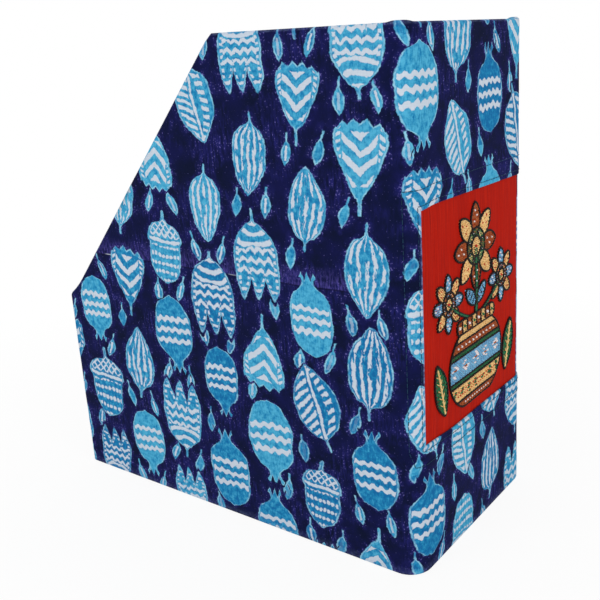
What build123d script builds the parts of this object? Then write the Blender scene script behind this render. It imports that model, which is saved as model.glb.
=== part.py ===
from build123d import *
import os

# A cloth-covered magazine holder. It stands on its base, the low front wall at -Y and the tall
# spine at +Y. The origin is at the middle of the underside. All sizes are in millimetres.

# Overall sizes, over the cloth
height = 300
width = 142
depth = 280
front_height = 130

# The rim of each side, seen from the side
top_length = 124
toe_run = 10
toe_rise = 7
toe_radius = 70
head_radius = 4

# Vertical corners, over the cloth
spine_corner_radius = 14
front_corner_radius = 3

# Sheets that the walls are built up from
board = 3.0
print_cloth = 0.6
panel_cloth = 0.6
backing_cloth = 0.3
tape = 0.25
lining_card = 1.2
lining_cloth = 0.5
underside_cloth = 0.5

# Paste and working clearances between the sheets
paste = 0.3
spine_paste = 0.4
thin_paste = 0.1
board_fit = 0.1
floor_bed = 0.4

# Turned edges of the printed cloth
rim_turn_in = 15
base_turn_under = 15
underside_inset = 4

# The window in the printed cloth on the spine, and the panel behind it. The window is set off
# to the left, where it runs round the corner.
window_right_edge = 12
window_left_edge = 8.5
window_height = 132.5
window_bottom = 77
window_radius = 1.5
hem_height = 11
hem_angle = 60
panel_margin = 8
panel_right_angle = 25
panel_left_angle = 35

# Linings
lining_drop = 5
lining_return = 10
spine_lining_return = 30
lining_joint = 0.3

# Gummed tapes
corner_tape_leg = 20
floor_tape_leg = 12

# Embroidery on the panel
relief = 0.8
panel_top_border = 7
panel_side_border = 10
pot_foot_width = 34
pot_belly_width = 66
pot_belly_at = 0.6
pot_top_width = 40
pot_height = 45
pot_lip_width = 47
pot_lip_height = 8
pot_lip_radius = 2
stem_width = 3
stem_lean = 1
side_stem_start = 9.5
side_stem_bow = 0.72
flower_radius = 26
side_flower_radius = 17.5
flower_eye = 0.42
petal_count = 8
petal_breadth = 0.44
side_flower_rise = 22
leaf_length = 34
leaf_width = 14
leaf_turn = 76
leaf_start = (39, 3)
top_leaf_length = 17
top_leaf_width = 8
top_leaf_turn = 42
top_leaf_rise = 5

# Insets of each layer from the outside of the cloth: (sides and front, spine)
board_out = (print_cloth + paste, 2 * print_cloth + panel_cloth + backing_cloth + spine_paste)
board_in = (board_out[0] + board, board_out[1] + board)


def further_in(inset, step):
    """The insets of a layer that lies a step inside another one."""
    return (inset[0] + step, inset[1] + step)


turn_in_out = further_in(board_in, thin_paste)
turn_in_in = further_in(turn_in_out, print_cloth)
return_out = further_in(turn_in_in, thin_paste)
card_out = further_in(return_out, lining_cloth)
card_in = further_in(card_out, lining_card)
lining_in = further_in(card_in, lining_cloth)

# Levels from the floor up
turn_under_level = underside_cloth
cloth_inside_level = turn_under_level + print_cloth
board_level = cloth_inside_level + thin_paste
base_top = board_level + board
lining_level = base_top + floor_bed

# Places in plan
board_drop = print_cloth + paste
half_width = width / 2
front_face = -depth / 2
spine_face = depth / 2
board_corner_radius = spine_corner_radius - board_out[0]
bend_inside_radius = board_corner_radius - board
window_right = half_width - window_right_edge
window_left = half_width - window_left_edge
lining_split = spine_face - card_in[1] - spine_lining_return
window_middle = window_bottom + window_height / 2


def plan(inset, spine_radius=0.0, front_radius=0.0, open_front=False):
    """The outline of a wall layer in plan. An open front lets it run out past the front wall."""
    near = front_face - depth / 2 if open_front else front_face + inset[0]
    far = spine_face - inset[1]
    with BuildSketch() as outline:
        with Locations((0, (near + far) / 2)):
            Rectangle(width - 2 * inset[0], far - near)
        if spine_radius > 0:
            fillet(outline.vertices().group_by(Axis.Y)[-1], spine_radius)
        if front_radius > 0:
            fillet(outline.vertices().group_by(Axis.Y)[0], front_radius)
    return outline.sketch


def cloth_plan(inset):
    """The outline of a layer of the outer cloth, which keeps one centre for each corner."""
    return plan((inset, inset), spine_corner_radius - inset, front_corner_radius - inset)


def inner_plan(inset):
    """The outline of a layer inside the boards, with square front corners."""
    return plan(inset, bend_inside_radius - (inset[0] - board_in[0]))


def under_rim(drop):
    """The side view of all that lies below the rim, lowered square to its edge by drop."""
    reach = depth / 2
    knee = (front_face + toe_run, front_height + toe_rise)
    head = (spine_face - top_length, height)
    with BuildSketch(Plane.YZ) as side:
        with BuildLine():
            Polyline(
                (front_face - reach, front_height - reach * toe_rise / toe_run),
                knee,
                head,
                (spine_face + reach, height),
                (spine_face + reach, -height),
                (front_face - reach, -height),
                close=True,
            )
        make_face()
        if drop > 0:
            offset(amount=-drop, kind=Kind.INTERSECTION, mode=Mode.REPLACE)
        fillet(side.vertices().sort_by_distance(knee)[0], toe_radius)
        fillet(side.vertices().sort_by_distance(head)[0], head_radius)
    return side.sketch


def round_corner(angle):
    """How far out from the middle a point lies that is an angle round a spine corner."""
    turn = Vector(spine_corner_radius, 0).rotate(Axis.Z, 90 - angle)
    return half_width - spine_corner_radius + turn.X


def on_spine(left, right, area_height, corner_radius=0.0):
    """A rectangle at the window's level on the spine's plane, so far left and right of its middle."""
    with BuildSketch(Plane.XZ.offset(-spine_face)) as area:
        with Locations(((right - left) / 2, window_middle)):
            if corner_radius > 0:
                RectangleRounded(left + right, area_height, corner_radius)
            else:
                Rectangle(left + right, area_height)
    return area.sketch


def layer(outside, inside, level, drop, flat_width):
    """A wall layer between two outlines, from a level up to the rim lowered by drop.

    The front wall's edge is level over flat_width, between the ends of the sides."""
    rim = under_rim(drop)
    with BuildPart() as wall:
        with BuildSketch(Plane.XY.offset(level)):
            add(outside)
            add(inside, mode=Mode.SUBTRACT)
        extrude(amount=height)
        extrude(rim, amount=width, both=True, mode=Mode.INTERSECT)
        with BuildSketch(Plane.XY.offset(front_height - drop)):
            with Locations((0, front_face)):
                Rectangle(flat_width, 2 * lining_in[0])
        extrude(amount=height, mode=Mode.SUBTRACT)
    return wall.part


finished = {}


def keep(name, part):
    """Label a finished piece and set it aside for export."""
    part.label = name
    finished[name] = part


# Board that wraps the left side, the spine and the right side in one bent piece
with BuildPart() as wrap_board:
    with BuildSketch(Plane.XY.offset(board_level)):
        add(plan(board_out, board_corner_radius, front_corner_radius - board_out[0]))
        add(plan(board_in, bend_inside_radius, open_front=True), mode=Mode.SUBTRACT)
    extrude(amount=height)
    extrude(under_rim(board_drop), amount=width, both=True, mode=Mode.INTERSECT)
keep("wrap_board", wrap_board.part)

# Front board, butted between the two sides
front_board_height = front_height - board_drop - board_level
with BuildPart() as front_board:
    with BuildSketch(Plane.XY.offset(board_level)):
        with Locations((0, front_face + board_out[0] + board / 2)):
            Rectangle(width - 2 * board_in[0] - 2 * board_fit, board)
    extrude(amount=front_board_height)
keep("front_board", front_board.part)

# Base board, let in between all the walls
with BuildPart() as base_board:
    with BuildSketch(Plane.XY.offset(board_level)):
        add(inner_plan(further_in(board_in, board_fit)))
    extrude(amount=board)
keep("base_board", base_board.part)

# Gummed tapes over the butt joints at the front, under the cloth
tape_radius = front_corner_radius - board_out[0]
for name, turn in (("left", -1), ("right", 1)):
    with BuildPart() as corner_tape:
        with BuildSketch(Plane.XY.offset(board_level)):
            add(plan(further_in(board_out, -tape), board_corner_radius + tape, tape_radius + tape))
            add(plan(board_out, board_corner_radius, tape_radius), mode=Mode.SUBTRACT)
            with Locations((turn * half_width, front_face)):
                Rectangle(2 * corner_tape_leg, 2 * corner_tape_leg, mode=Mode.INTERSECT)
        extrude(amount=front_board_height)
    keep(f"front_corner_tape_{name}", corner_tape.part)

# Gummed tapes along the joint of the base and each wall, on the inside
side_wall = half_width - board_in[0]
front_wall = front_face + board_in[0]
spine_wall = spine_face - board_in[1]
tape_end = floor_tape_leg + board_fit
side_tape_near = front_wall + tape_end
side_tape_far = spine_wall - tape_end
side_tape_length = side_tape_far - side_tape_near
side_tape_middle = (side_tape_near + side_tape_far) / 2
front_tape_length = 2 * (side_wall - board_fit)
spine_tape_length = 2 * (side_wall - bend_inside_radius)
floor_tapes = {
    "left": (Plane((-side_wall, side_tape_middle, base_top), (1, 0, 0), (0, -1, 0)), side_tape_length),
    "right": (Plane((side_wall, side_tape_middle, base_top), (-1, 0, 0), (0, 1, 0)), side_tape_length),
    "front": (Plane((0, front_wall, base_top), (0, 1, 0), (1, 0, 0)), front_tape_length),
    "spine": (Plane((0, spine_wall, base_top), (0, -1, 0), (-1, 0, 0)), spine_tape_length),
}
for name, (corner, length) in floor_tapes.items():
    with BuildPart() as floor_tape:
        with BuildSketch(corner):
            Rectangle(floor_tape_leg, tape, align=(Align.MIN, Align.MIN))
            Rectangle(tape, floor_tape_leg, align=(Align.MIN, Align.MIN))
        extrude(amount=length / 2, both=True)
    keep(f"floor_tape_{name}", floor_tape.part)

# The room that the printed cloth leaves for the boards, and what lies below its turned edge
flat_width = 2 * side_wall
board_room = layer(
    cloth_plan(print_cloth), inner_plan(turn_in_out), cloth_inside_level, print_cloth, flat_width
)
below_turn_in = layer(
    cloth_plan(print_cloth), inner_plan(turn_in_in), cloth_inside_level, rim_turn_in, flat_width
)

# The ply of printed cloth that is folded under round the window
hem_ring = layer(
    cloth_plan(print_cloth), cloth_plan(2 * print_cloth), cloth_inside_level, print_cloth, flat_width
)
with BuildPart() as hem_ply:
    add(hem_ring)
    extrude(
        on_spine(
            round_corner(hem_angle), round_corner(hem_angle), window_height + 2 * hem_height
        ),
        amount=spine_corner_radius,
        mode=Mode.INTERSECT,
    )

# Printed cloth over the outside, over the rim and under the base
cloth_block = layer(
    cloth_plan(0), inner_plan(turn_in_in), turn_under_level, 0, flat_width
)
with BuildPart() as print_wrap_cloth:
    add(cloth_block)
    add(board_room, mode=Mode.SUBTRACT)
    add(below_turn_in, mode=Mode.SUBTRACT)
    with BuildSketch(Plane.XY.offset(turn_under_level)):
        add(cloth_plan(0))
        add(plan((base_turn_under, base_turn_under)), mode=Mode.SUBTRACT)
    extrude(amount=print_cloth)
    add(hem_ply.part)
    extrude(
        on_spine(window_left, window_right, window_height, window_radius),
        amount=spine_corner_radius,
        mode=Mode.SUBTRACT,
    )
keep("print_wrap_cloth", print_wrap_cloth.part)

# Plain cloth under the base, which the holder stands on
with BuildPart() as underside:
    with BuildSketch():
        add(plan((underside_inset, underside_inset), spine_corner_radius - underside_inset))
    extrude(amount=underside_cloth)
keep("underside_cloth", underside.part)

# Red panel and its backing, which follow the corners a little way behind the window's edges
panel_out = 2 * print_cloth
backing_out = panel_out + panel_cloth
for name, outer, sheet in (
    ("spine_panel_cloth", panel_out, panel_cloth),
    ("panel_backing", backing_out, backing_cloth),
):
    ring = layer(cloth_plan(outer), cloth_plan(outer + sheet), board_level, outer, flat_width)
    with BuildPart() as panel_sheet:
        add(ring)
        extrude(
            on_spine(
                round_corner(panel_left_angle),
                round_corner(panel_right_angle),
                window_height + 2 * panel_margin,
            ),
            amount=spine_corner_radius,
            mode=Mode.INTERSECT,
        )
    keep(name, panel_sheet.part)


def leaf_shape(length, breadth):
    """A pointed oval from the origin along +X."""
    with BuildSketch() as leaf:
        with BuildLine():
            ThreePointArc((0, 0), (length / 2, breadth / 2), (length, 0))
            ThreePointArc((length, 0), (length / 2, -breadth / 2), (0, 0))
        make_face()
    return leaf.sketch


def flower_shape(radius):
    """A ring of petals round an eye."""
    eye = radius * flower_eye
    petal = leaf_shape(radius - eye / 2, petal_breadth * radius)
    with BuildSketch() as flower:
        Circle(eye)
        with PolarLocations(eye / 2, petal_count):
            add(petal)
    return flower.sketch


def stem_shape(start, through, end):
    """A stem of steady width along an arc."""
    with BuildSketch() as stem:
        with BuildLine():
            ThreePointArc(start, through, end)
        trace(line_width=stem_width)
    return stem.sketch


# Raised stitching: a pot of flowers and leaves. It is drawn from the panel's middle, seen from
# behind the spine, so its first axis runs towards -X.
panel_top = window_height / 2 - panel_top_border
panel_side = (window_left + window_right) / 2 - panel_side_border
pot_foot = -panel_top
pot_top = pot_foot + pot_height
flower_at = (0, panel_top - flower_radius)
side_flower_at = (panel_side - side_flower_radius, pot_top + side_flower_rise)
big_leaf = leaf_shape(leaf_length, leaf_width)
top_leaf = leaf_shape(top_leaf_length, top_leaf_width)
with BuildSketch() as pot:
    with BuildLine():
        Line((-pot_foot_width / 2, pot_foot), (pot_foot_width / 2, pot_foot))
        ThreePointArc(
            (pot_foot_width / 2, pot_foot),
            (pot_belly_width / 2, pot_foot + pot_height * pot_belly_at),
            (pot_top_width / 2, pot_top),
        )
        Line((pot_top_width / 2, pot_top), (-pot_top_width / 2, pot_top))
        ThreePointArc(
            (-pot_top_width / 2, pot_top),
            (-pot_belly_width / 2, pot_foot + pot_height * pot_belly_at),
            (-pot_foot_width / 2, pot_foot),
        )
    make_face()
    with Locations((0, pot_top + pot_lip_height / 2)):
        RectangleRounded(pot_lip_width, pot_lip_height, pot_lip_radius)

pot_mouth = pot_top + pot_lip_height
middle_stem = stem_shape((0, pot_mouth), (stem_lean, (pot_mouth + flower_at[1]) / 2), flower_at)
side_stem = stem_shape(
    (side_stem_start, pot_mouth),
    (side_flower_at[0] * side_stem_bow, (pot_mouth + side_flower_at[1]) / 2),
    side_flower_at,
)
middle_flower = flower_shape(flower_radius)
side_flower = flower_shape(side_flower_radius)
panel_middle = (window_right - window_left) / 2
stitched_plane = Plane(
    (panel_middle, spine_face - panel_out, window_middle), (-1, 0, 0), (0, 1, 0)
)
with BuildPart() as panel_embroidery:
    with BuildSketch(stitched_plane):
        add(pot.sketch)
        add(middle_stem)
        with Locations(flower_at):
            add(middle_flower)
        with BuildSketch(mode=Mode.PRIVATE) as right_half:
            add(side_stem)
            with Locations(side_flower_at):
                add(side_flower)
            with Locations(Location((leaf_start[0], pot_foot + leaf_start[1]), leaf_turn)):
                add(big_leaf)
            with Locations(Location((0, pot_mouth + top_leaf_rise), top_leaf_turn)):
                add(top_leaf)
        add(right_half.sketch)
        add(mirror(right_half.sketch, about=Plane.YZ, mode=Mode.PRIVATE))
    extrude(amount=relief)
keep("panel_embroidery", panel_embroidery.part)


def lining_zone(wall, inset):
    """The part of the plan that one wall's lining takes, out to a layer's inner face."""
    side_inside = half_width - inset[0]
    front_half = half_width - lining_in[0] - lining_joint
    with BuildSketch() as zone:
        if wall == "spine":
            with Locations((0, lining_split)):
                Rectangle(width, depth, align=(Align.CENTER, Align.MIN))
        elif wall == "front":
            with Locations((0, front_face)):
                Rectangle(2 * front_half, 2 * lining_in[0])
        else:
            side = 1 if wall == "right" else -1
            middle = side * (side_inside + half_width) / 2
            with Locations((middle, lining_split - lining_joint)):
                Rectangle(inset[0], depth, align=(Align.CENTER, Align.MAX))
    return zone.sketch


# Lining of the walls: a thin card for each, and a cloth folded over the card's top edge
lining_flat = 2 * (half_width - lining_in[0])
card_drop = lining_drop + lining_cloth
card_ring = layer(inner_plan(card_out), inner_plan(card_in), lining_level, card_drop, lining_flat)
cloth_ring = layer(
    inner_plan(return_out), inner_plan(lining_in), lining_level, lining_drop, lining_flat
)
behind_card = layer(
    inner_plan(return_out),
    inner_plan(card_out),
    lining_level,
    lining_drop + lining_return,
    lining_flat,
)
for wall in ("left", "right", "front", "spine"):
    with BuildPart() as card:
        add(card_ring)
        with BuildSketch(Plane.XY.offset(lining_level)):
            add(lining_zone(wall, card_in))
        extrude(amount=height, mode=Mode.INTERSECT)
    keep(f"{wall}_lining_card", card.part)
    with BuildPart() as facing:
        add(cloth_ring)
        add(card_ring, mode=Mode.SUBTRACT)
        add(behind_card, mode=Mode.SUBTRACT)
        with BuildSketch(Plane.XY.offset(lining_level)):
            add(lining_zone(wall, lining_in))
        extrude(amount=height, mode=Mode.INTERSECT)
    keep(f"{wall}_lining_cloth", facing.part)

# Lining of the floor: a card with its cloth folded down over the card's edges
floor_edge = further_in(lining_in, lining_joint)
floor_card_edge = further_in(floor_edge, lining_cloth)
with BuildPart() as floor_card:
    with BuildSketch(Plane.XY.offset(lining_level)):
        add(inner_plan(floor_card_edge))
    extrude(amount=lining_card)
keep("floor_lining_card", floor_card.part)
with BuildPart() as floor_cloth:
    with BuildSketch(Plane.XY.offset(lining_level)):
        add(inner_plan(floor_edge))
    extrude(amount=lining_card + lining_cloth)
    add(floor_card.part, mode=Mode.SUBTRACT)
keep("floor_lining_cloth", floor_cloth.part)

os.makedirs("parts", exist_ok=True)
for name, part in finished.items():
    export_step(part, f"parts/{name}.step")
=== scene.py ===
import math
import random

import bmesh
import bpy
from mathutils import Matrix, Vector, noise


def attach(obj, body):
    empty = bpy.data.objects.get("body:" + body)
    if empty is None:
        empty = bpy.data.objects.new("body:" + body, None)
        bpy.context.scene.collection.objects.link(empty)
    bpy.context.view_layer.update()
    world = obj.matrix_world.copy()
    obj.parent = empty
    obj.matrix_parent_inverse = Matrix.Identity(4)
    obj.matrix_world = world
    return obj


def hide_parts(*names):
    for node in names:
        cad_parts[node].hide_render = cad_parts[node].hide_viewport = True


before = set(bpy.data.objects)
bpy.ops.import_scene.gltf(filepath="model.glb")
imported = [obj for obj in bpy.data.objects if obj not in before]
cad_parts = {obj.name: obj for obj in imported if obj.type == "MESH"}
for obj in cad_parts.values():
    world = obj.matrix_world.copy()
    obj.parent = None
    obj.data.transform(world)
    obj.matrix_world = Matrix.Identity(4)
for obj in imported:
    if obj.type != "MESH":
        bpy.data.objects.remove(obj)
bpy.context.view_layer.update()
print("frame loaded, nodes:", len(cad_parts))

# The holder in millimetres: low front wall at -Y, tall spine at +Y
holder = {
    "height": 300.0,
    "width": 142.0,
    "depth": 280.0,
    "frontHeight": 130.0,
    "topLength": 124.0,
    "toeRun": 10.0,
    "toeRise": 7.0,
    "toeBlend": 2.5,  # how softly the rim turns at the toe and at the head of the slope
    "headBlend": 1.7,
    "spineRadius": 14.0,
    "frontRadius": 3.0,
    "leastSpineRadius": 1.0,
    "leastFrontRadius": 0.8,
    "clothMiddle": 0.3,  # depth of the middle of the outer cloth
    "spineSpread": 0.4,  # the layers behind the spine lie this much further apart
    "seam": -50.0,  # where the printed cloth's ends lap on the front wall
}
mm = 0.001
halfWidth = holder["width"] / 2
frontFace = -holder["depth"] / 2
spineFace = holder["depth"] / 2
kneeY = frontFace + holder["toeRun"]
kneeZ = holder["frontHeight"] + holder["toeRise"]
headY = spineFace - holder["topLength"]
toeTan = holder["toeRise"] / holder["toeRun"]
slopeTan = (holder["height"] - kneeZ) / (headY - kneeY)
toeCos = 1 / math.hypot(1, toeTan)
slopeCos = 1 / math.hypot(1, slopeTan)

# The window on the spine, measured along the cloth from the spine's middle, near side first
window = {
    "near": 59.0,
    "far": 62.5,
    "low": 77.0,
    "high": 209.5,
    "fold": 0.6,  # the folded edge stands this far inside the line that it turns on
    "edgeRow": 2.0,
    "outerRow": 10.2,
    "wrap": 4.5,  # how much further the cut runs round the far corner
}


# Small tools


def smoothMin(a, b, blend):
    share = max(blend - abs(a - b), 0) / blend
    return min(a, b) - share * share * blend / 4


def fade(value, start, end):
    t = min(max((value - start) / (end - start), 0), 1)
    return t * t * (3 - 2 * t)


def mix(a, b, share):
    return a + (b - a) * share


def wave(a, b, scale, seed):
    # smooth noise between about -1 and 1, with lumps of the scale's size
    return noise.noise(Vector((a / scale, b / scale, seed)))


def deselect():
    bpy.ops.object.select_all(action="DESELECT")


def activate(piece):
    deselect()
    piece.select_set(True)
    bpy.context.view_layer.objects.active = piece


def applyAll(piece):
    activate(piece)
    for modifier in list(piece.modifiers):
        bpy.ops.object.modifier_apply(modifier=modifier.name)


def gridFaces(columns, rows, leaveOut=lambda column, row: False):
    # faces between columns of points that run upwards
    return [
        (i * rows + j, (i + 1) * rows + j, (i + 1) * rows + j + 1, i * rows + j + 1)
        for i in range(columns - 1)
        for j in range(rows - 1)
        if not leaveOut(i, j)
    ]


def meshPiece(name, points, faces, plans):
    # plans: where each point lies on the flat cloth, in metres
    mesh = bpy.data.meshes.new(name)
    mesh.from_pydata([tuple(c * mm for c in p) for p in points], [], faces)
    layer = mesh.uv_layers.new(name="clothPlan")
    for loop in mesh.loops:
        layer.data[loop.index].uv = plans[loop.vertex_index]
    mesh.validate()
    mesh.update()
    piece = bpy.data.objects.new(name, mesh)
    bpy.context.scene.collection.objects.link(piece)
    return piece


def thicken(piece, thickness):
    solid = piece.modifiers.new("thickness", "SOLIDIFY")
    solid.thickness = thickness * mm
    solid.offset = 0
    solid.use_even_offset = False
    applyAll(piece)
    piece.data.shade_smooth()


def setPointValue(piece, name, values):
    layer = piece.data.attributes.new(name, "FLOAT", "POINT")
    layer.data.foreach_set("value", values)


def flatArea(piece):
    return sum(face.area for face in piece.data.polygons)


# Plan of the walls


def wallRoute(side, spine):
    # straight runs and corners of a layer, inset from the outside by side and spine
    seamX = holder["seam"]
    frontR = max(holder["frontRadius"] - side, holder["leastFrontRadius"])
    spineR = max(holder["spineRadius"] - side, holder["leastSpineRadius"])
    fx, fy = halfWidth - side - frontR, frontFace + side + frontR
    sx, sy = halfWidth - side - spineR, spineFace - spine - spineR
    return [
        ("front", (seamX, frontFace + side), (fx, frontFace + side)),
        ("corner", (fx, fy), frontR, -90),
        ("side", (halfWidth - side, fy), (halfWidth - side, sy)),
        ("bend", (sx, sy), spineR, 0),
        ("spine", (sx, spineFace - spine), (-sx, spineFace - spine)),
        ("bend", (-sx, sy), spineR, 90),
        ("side", (side - halfWidth, sy), (side - halfWidth, fy)),
        ("corner", (-fx, fy), frontR, 180),
        ("front", (-fx, frontFace + side), (seamX, frontFace + side)),
    ]


def runLength(part):
    if part[0] in ("corner", "bend"):
        return part[2] * math.pi / 2
    return math.dist(part[1], part[2])


outerRuns = [runLength(part) for part in wallRoute(0, 0)]
wholeRun = sum(outerRuns)
runStarts = [sum(outerRuns[:i]) for i in range(len(outerRuns))]
spineMiddle = runStarts[4] + outerRuns[4] / 2


def stepsFor(length, steps):
    # how many steps a part of the walls' plan is cut into; the short run beside the seam counts as round
    sharp, rounded, straight = steps
    return sharp if length < 10 else rounded if length < 30 else straight


def wallPlace(run, side, spine):
    # a point so far along the outside of the cloth: x, y, and 0 on the low front wall to 1 on the sides
    run = run % wholeRun
    index = max(i for i, start in enumerate(runStarts) if start <= run + 1e-9)
    share = min((run - runStarts[index]) / outerRuns[index], 1)
    part = wallRoute(side, spine)[index]
    if part[0] in ("corner", "bend"):
        angle = math.radians(part[3] + 90 * share)
        x = part[1][0] + part[2] * math.cos(angle)
        y = part[1][1] + part[2] * math.sin(angle)
    else:
        x = mix(part[1][0], part[2][0], share)
        y = mix(part[1][1], part[2][1], share)
    rise = {"front": 0.0, "corner": share if index == 1 else 1 - share}.get(part[0], 1.0)
    return x, y, rise


def rimHeight(y, drop):
    # height of the sides' rim, lowered square to its edge
    toe = holder["frontHeight"] + (y - frontFace) * toeTan - drop / toeCos
    slope = kneeZ + (y - kneeY) * slopeTan - drop / slopeCos
    rising = -smoothMin(-toe, -slope, holder["toeBlend"])
    return smoothMin(rising, holder["height"] - drop, holder["headBlend"])


def rimPlace(run, side, spine, drop):
    x, y, rise = wallPlace(run, side, spine)
    return x, y, mix(holder["frontHeight"] - drop, rimHeight(y, drop), rise)


def spineInset(side):
    # the spine carries the panel, so its layers spread a little further in
    return side + (side - holder["clothMiddle"]) * holder["spineSpread"]


# The lines that the window's edges turn on
nearLine = spineMiddle - window["near"] - window["fold"]
farLine = spineMiddle + window["far"] + window["wrap"] + window["fold"]
lowLine = window["low"] - window["fold"]
highLine = window["high"] + window["fold"]
panelMiddle = ((window["far"] - window["near"]) / 2, (window["low"] + window["high"]) / 2)

# How far the window's folded edges stray from straight lines
windowStray = {
    "lowNear": 2.4,
    "lowAll": -0.7,
    "lowFar": -0.4,
    "highAll": -0.5,
    "highTilt": -0.011,
    "highNear": -1.4,
    "lean": 0.5,
    "reach": 34.0,  # the cloth beside an edge goes with it this far
}


def edgeSlip(run, z):
    # how far the cloth sits off its place beside the window: along, then up
    stray = windowStray
    across = run - spineMiddle
    low = stray["lowNear"] * fade(-across, 22, 60) + stray["lowAll"] + stray["lowFar"] * fade(across, 0, 60)
    high = stray["highAll"] + stray["highTilt"] * across + stray["highNear"] * fade(-across, 43, 60)
    low *= fade(stray["reach"] - abs(z - lowLine), 0, 30)
    high *= fade(stray["reach"] - abs(z - highLine), 0, 30)
    lean = mix(-stray["lean"], stray["lean"], (z - lowLine) / (highLine - lowLine))
    lean *= fade(20 - abs(run - nearLine), 0, 18) * fade(60 - abs(z - panelMiddle[1]), -40, 0)
    return lean, low + high


# Camera

camera = {
    "place": (0.41498, 0.34772, 0.29388),
    "azimuth": 125.7766,
    "elevation": 15.4953,
    "roll": -2.9076,
    "lens": 50.06,
    "sensor": 36,
    "image": 600,
    "centre": (345.04, 269.58),  # pixel that the lens looks straight at
}


def makeCamera():
    turn, rise, roll = (math.radians(camera[k]) for k in ("azimuth", "elevation", "roll"))
    back = Vector((math.sin(turn) * math.cos(rise), -math.cos(turn) * math.cos(rise), math.sin(rise)))
    right = Vector((math.cos(turn), math.sin(turn), 0))
    up = back.cross(right)
    rolledRight = right * math.cos(roll) + up * math.sin(roll)
    rolledUp = up * math.cos(roll) - right * math.sin(roll)
    data = bpy.data.cameras.new("photoCamera")
    data.lens = camera["lens"]
    data.sensor_width = camera["sensor"]
    data.shift_x = 0.5 - camera["centre"][0] / camera["image"]
    data.shift_y = camera["centre"][1] / camera["image"] - 0.5
    data.clip_start = 0.01
    eye = bpy.data.objects.new("photoCamera", data)
    axes = Matrix((rolledRight, rolledUp, back)).transposed().to_4x4()
    eye.matrix_world = Matrix.Translation(camera["place"]) @ axes
    bpy.context.scene.collection.objects.link(eye)
    bpy.context.scene.camera = eye


makeCamera()
bpy.context.scene.view_settings.view_transform = "Standard"
print("camera set")

# Shader tools


def paint(red, green, blue):
    # a screen colour, 0 to 255, as the linear colour that a socket takes
    def linear(c):
        c = c / 255
        return c / 12.92 if c <= 0.04045 else ((c + 0.055) / 1.055) ** 2.4

    return (linear(red), linear(green), linear(blue), 1.0)


def feed(tree, socket, value):
    if isinstance(value, bpy.types.NodeSocket):
        tree.links.new(value, socket)
    else:
        socket.default_value = value


def calc(tree, operation, *values):
    node = tree.nodes.new("ShaderNodeMath")
    node.operation = operation
    for socket, value in zip(node.inputs, values):
        feed(tree, socket, value)
    return node.outputs[0]


def clampSum(tree, value, gain, lift=0.5):
    # value times gain plus lift, kept between 0 and 1
    total = calc(tree, "MULTIPLY_ADD", value, gain, lift)
    total.node.use_clamp = True
    return total


def vectorCalc(tree, operation, *values):
    node = tree.nodes.new("ShaderNodeVectorMath")
    node.operation = operation
    for socket, value in zip(node.inputs, values):
        feed(tree, socket, value)
    return node.outputs[0]


def scaled(tree, vector, x, y, z=1.0):
    return vectorCalc(tree, "MULTIPLY", vector, (x, y, z))


def separate(tree, vector):
    node = tree.nodes.new("ShaderNodeSeparateXYZ")
    tree.links.new(vector, node.inputs[0])
    return node.outputs


def combine(tree, x, y):
    node = tree.nodes.new("ShaderNodeCombineXYZ")
    feed(tree, node.inputs[0], x)
    feed(tree, node.inputs[1], y)
    return node.outputs[0]


def noiseOn(tree, vector, scale, detail=2.0, rough=0.5, output="Fac"):
    node = tree.nodes.new("ShaderNodeTexNoise")
    feed(tree, node.inputs["Vector"], vector)
    node.inputs["Scale"].default_value = scale
    node.inputs["Detail"].default_value = detail
    node.inputs["Roughness"].default_value = rough
    return node.outputs[output]


def strayed(tree, vector, at, scale, detail, reach):
    # the vector moved by up to half the reach, by a noise that is read at another vector
    drift = noiseOn(tree, at, scale, detail, output="Color")
    drift = vectorCalc(tree, "SUBTRACT", drift, (0.5, 0.5, 0.5))
    return vectorCalc(tree, "MULTIPLY_ADD", drift, (reach, reach, reach), vector)


def ramp(tree, value, low, high, fromLow=0.0, toHigh=1.0):
    node = tree.nodes.new("ShaderNodeMapRange")
    feed(tree, node.inputs["Value"], value)
    node.inputs["From Min"].default_value = low
    node.inputs["From Max"].default_value = high
    node.inputs["To Min"].default_value = fromLow
    node.inputs["To Max"].default_value = toHigh
    return node.outputs["Result"]


def blendColour(tree, share, a, b):
    node = tree.nodes.new("ShaderNodeMix")
    node.data_type = "RGBA"
    feed(tree, node.inputs[0], share)
    feed(tree, node.inputs[6], a)
    feed(tree, node.inputs[7], b)
    return node.outputs[2]


def pick(tree, share, a, b):
    node = tree.nodes.new("ShaderNodeMix")
    feed(tree, node.inputs[0], share)
    feed(tree, node.inputs[2], a)
    feed(tree, node.inputs[3], b)
    return node.outputs[0]


def newGroup(name, inputs, outputs):
    tree = bpy.data.node_groups.new(name, "ShaderNodeTree")
    for label, kind, value in inputs:
        socket = tree.interface.new_socket(name=label, in_out="INPUT", socket_type=kind)
        if value is not None:
            socket.default_value = value
    for label, kind in outputs:
        tree.interface.new_socket(name=label, in_out="OUTPUT", socket_type=kind)
    start = tree.nodes.new("NodeGroupInput")
    end = tree.nodes.new("NodeGroupOutput")
    return tree, start.outputs, end.inputs


def useGroup(tree, group, **values):
    node = tree.nodes.new("ShaderNodeGroup")
    node.node_tree = group
    for label, value in values.items():
        feed(tree, node.inputs[label], value)
    return node.outputs


def newMaterial(name, roughness, sheen=0.0, specular=0.12):
    material = bpy.data.materials.new(name)
    material.use_nodes = True
    tree = material.node_tree
    shader = tree.nodes["Principled BSDF"]
    shader.inputs["Roughness"].default_value = roughness
    shader.inputs["Specular IOR Level"].default_value = specular
    shader.inputs["Sheen Weight"].default_value = sheen
    shader.inputs["Sheen Roughness"].default_value = 0.6
    return material, tree, shader


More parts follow.
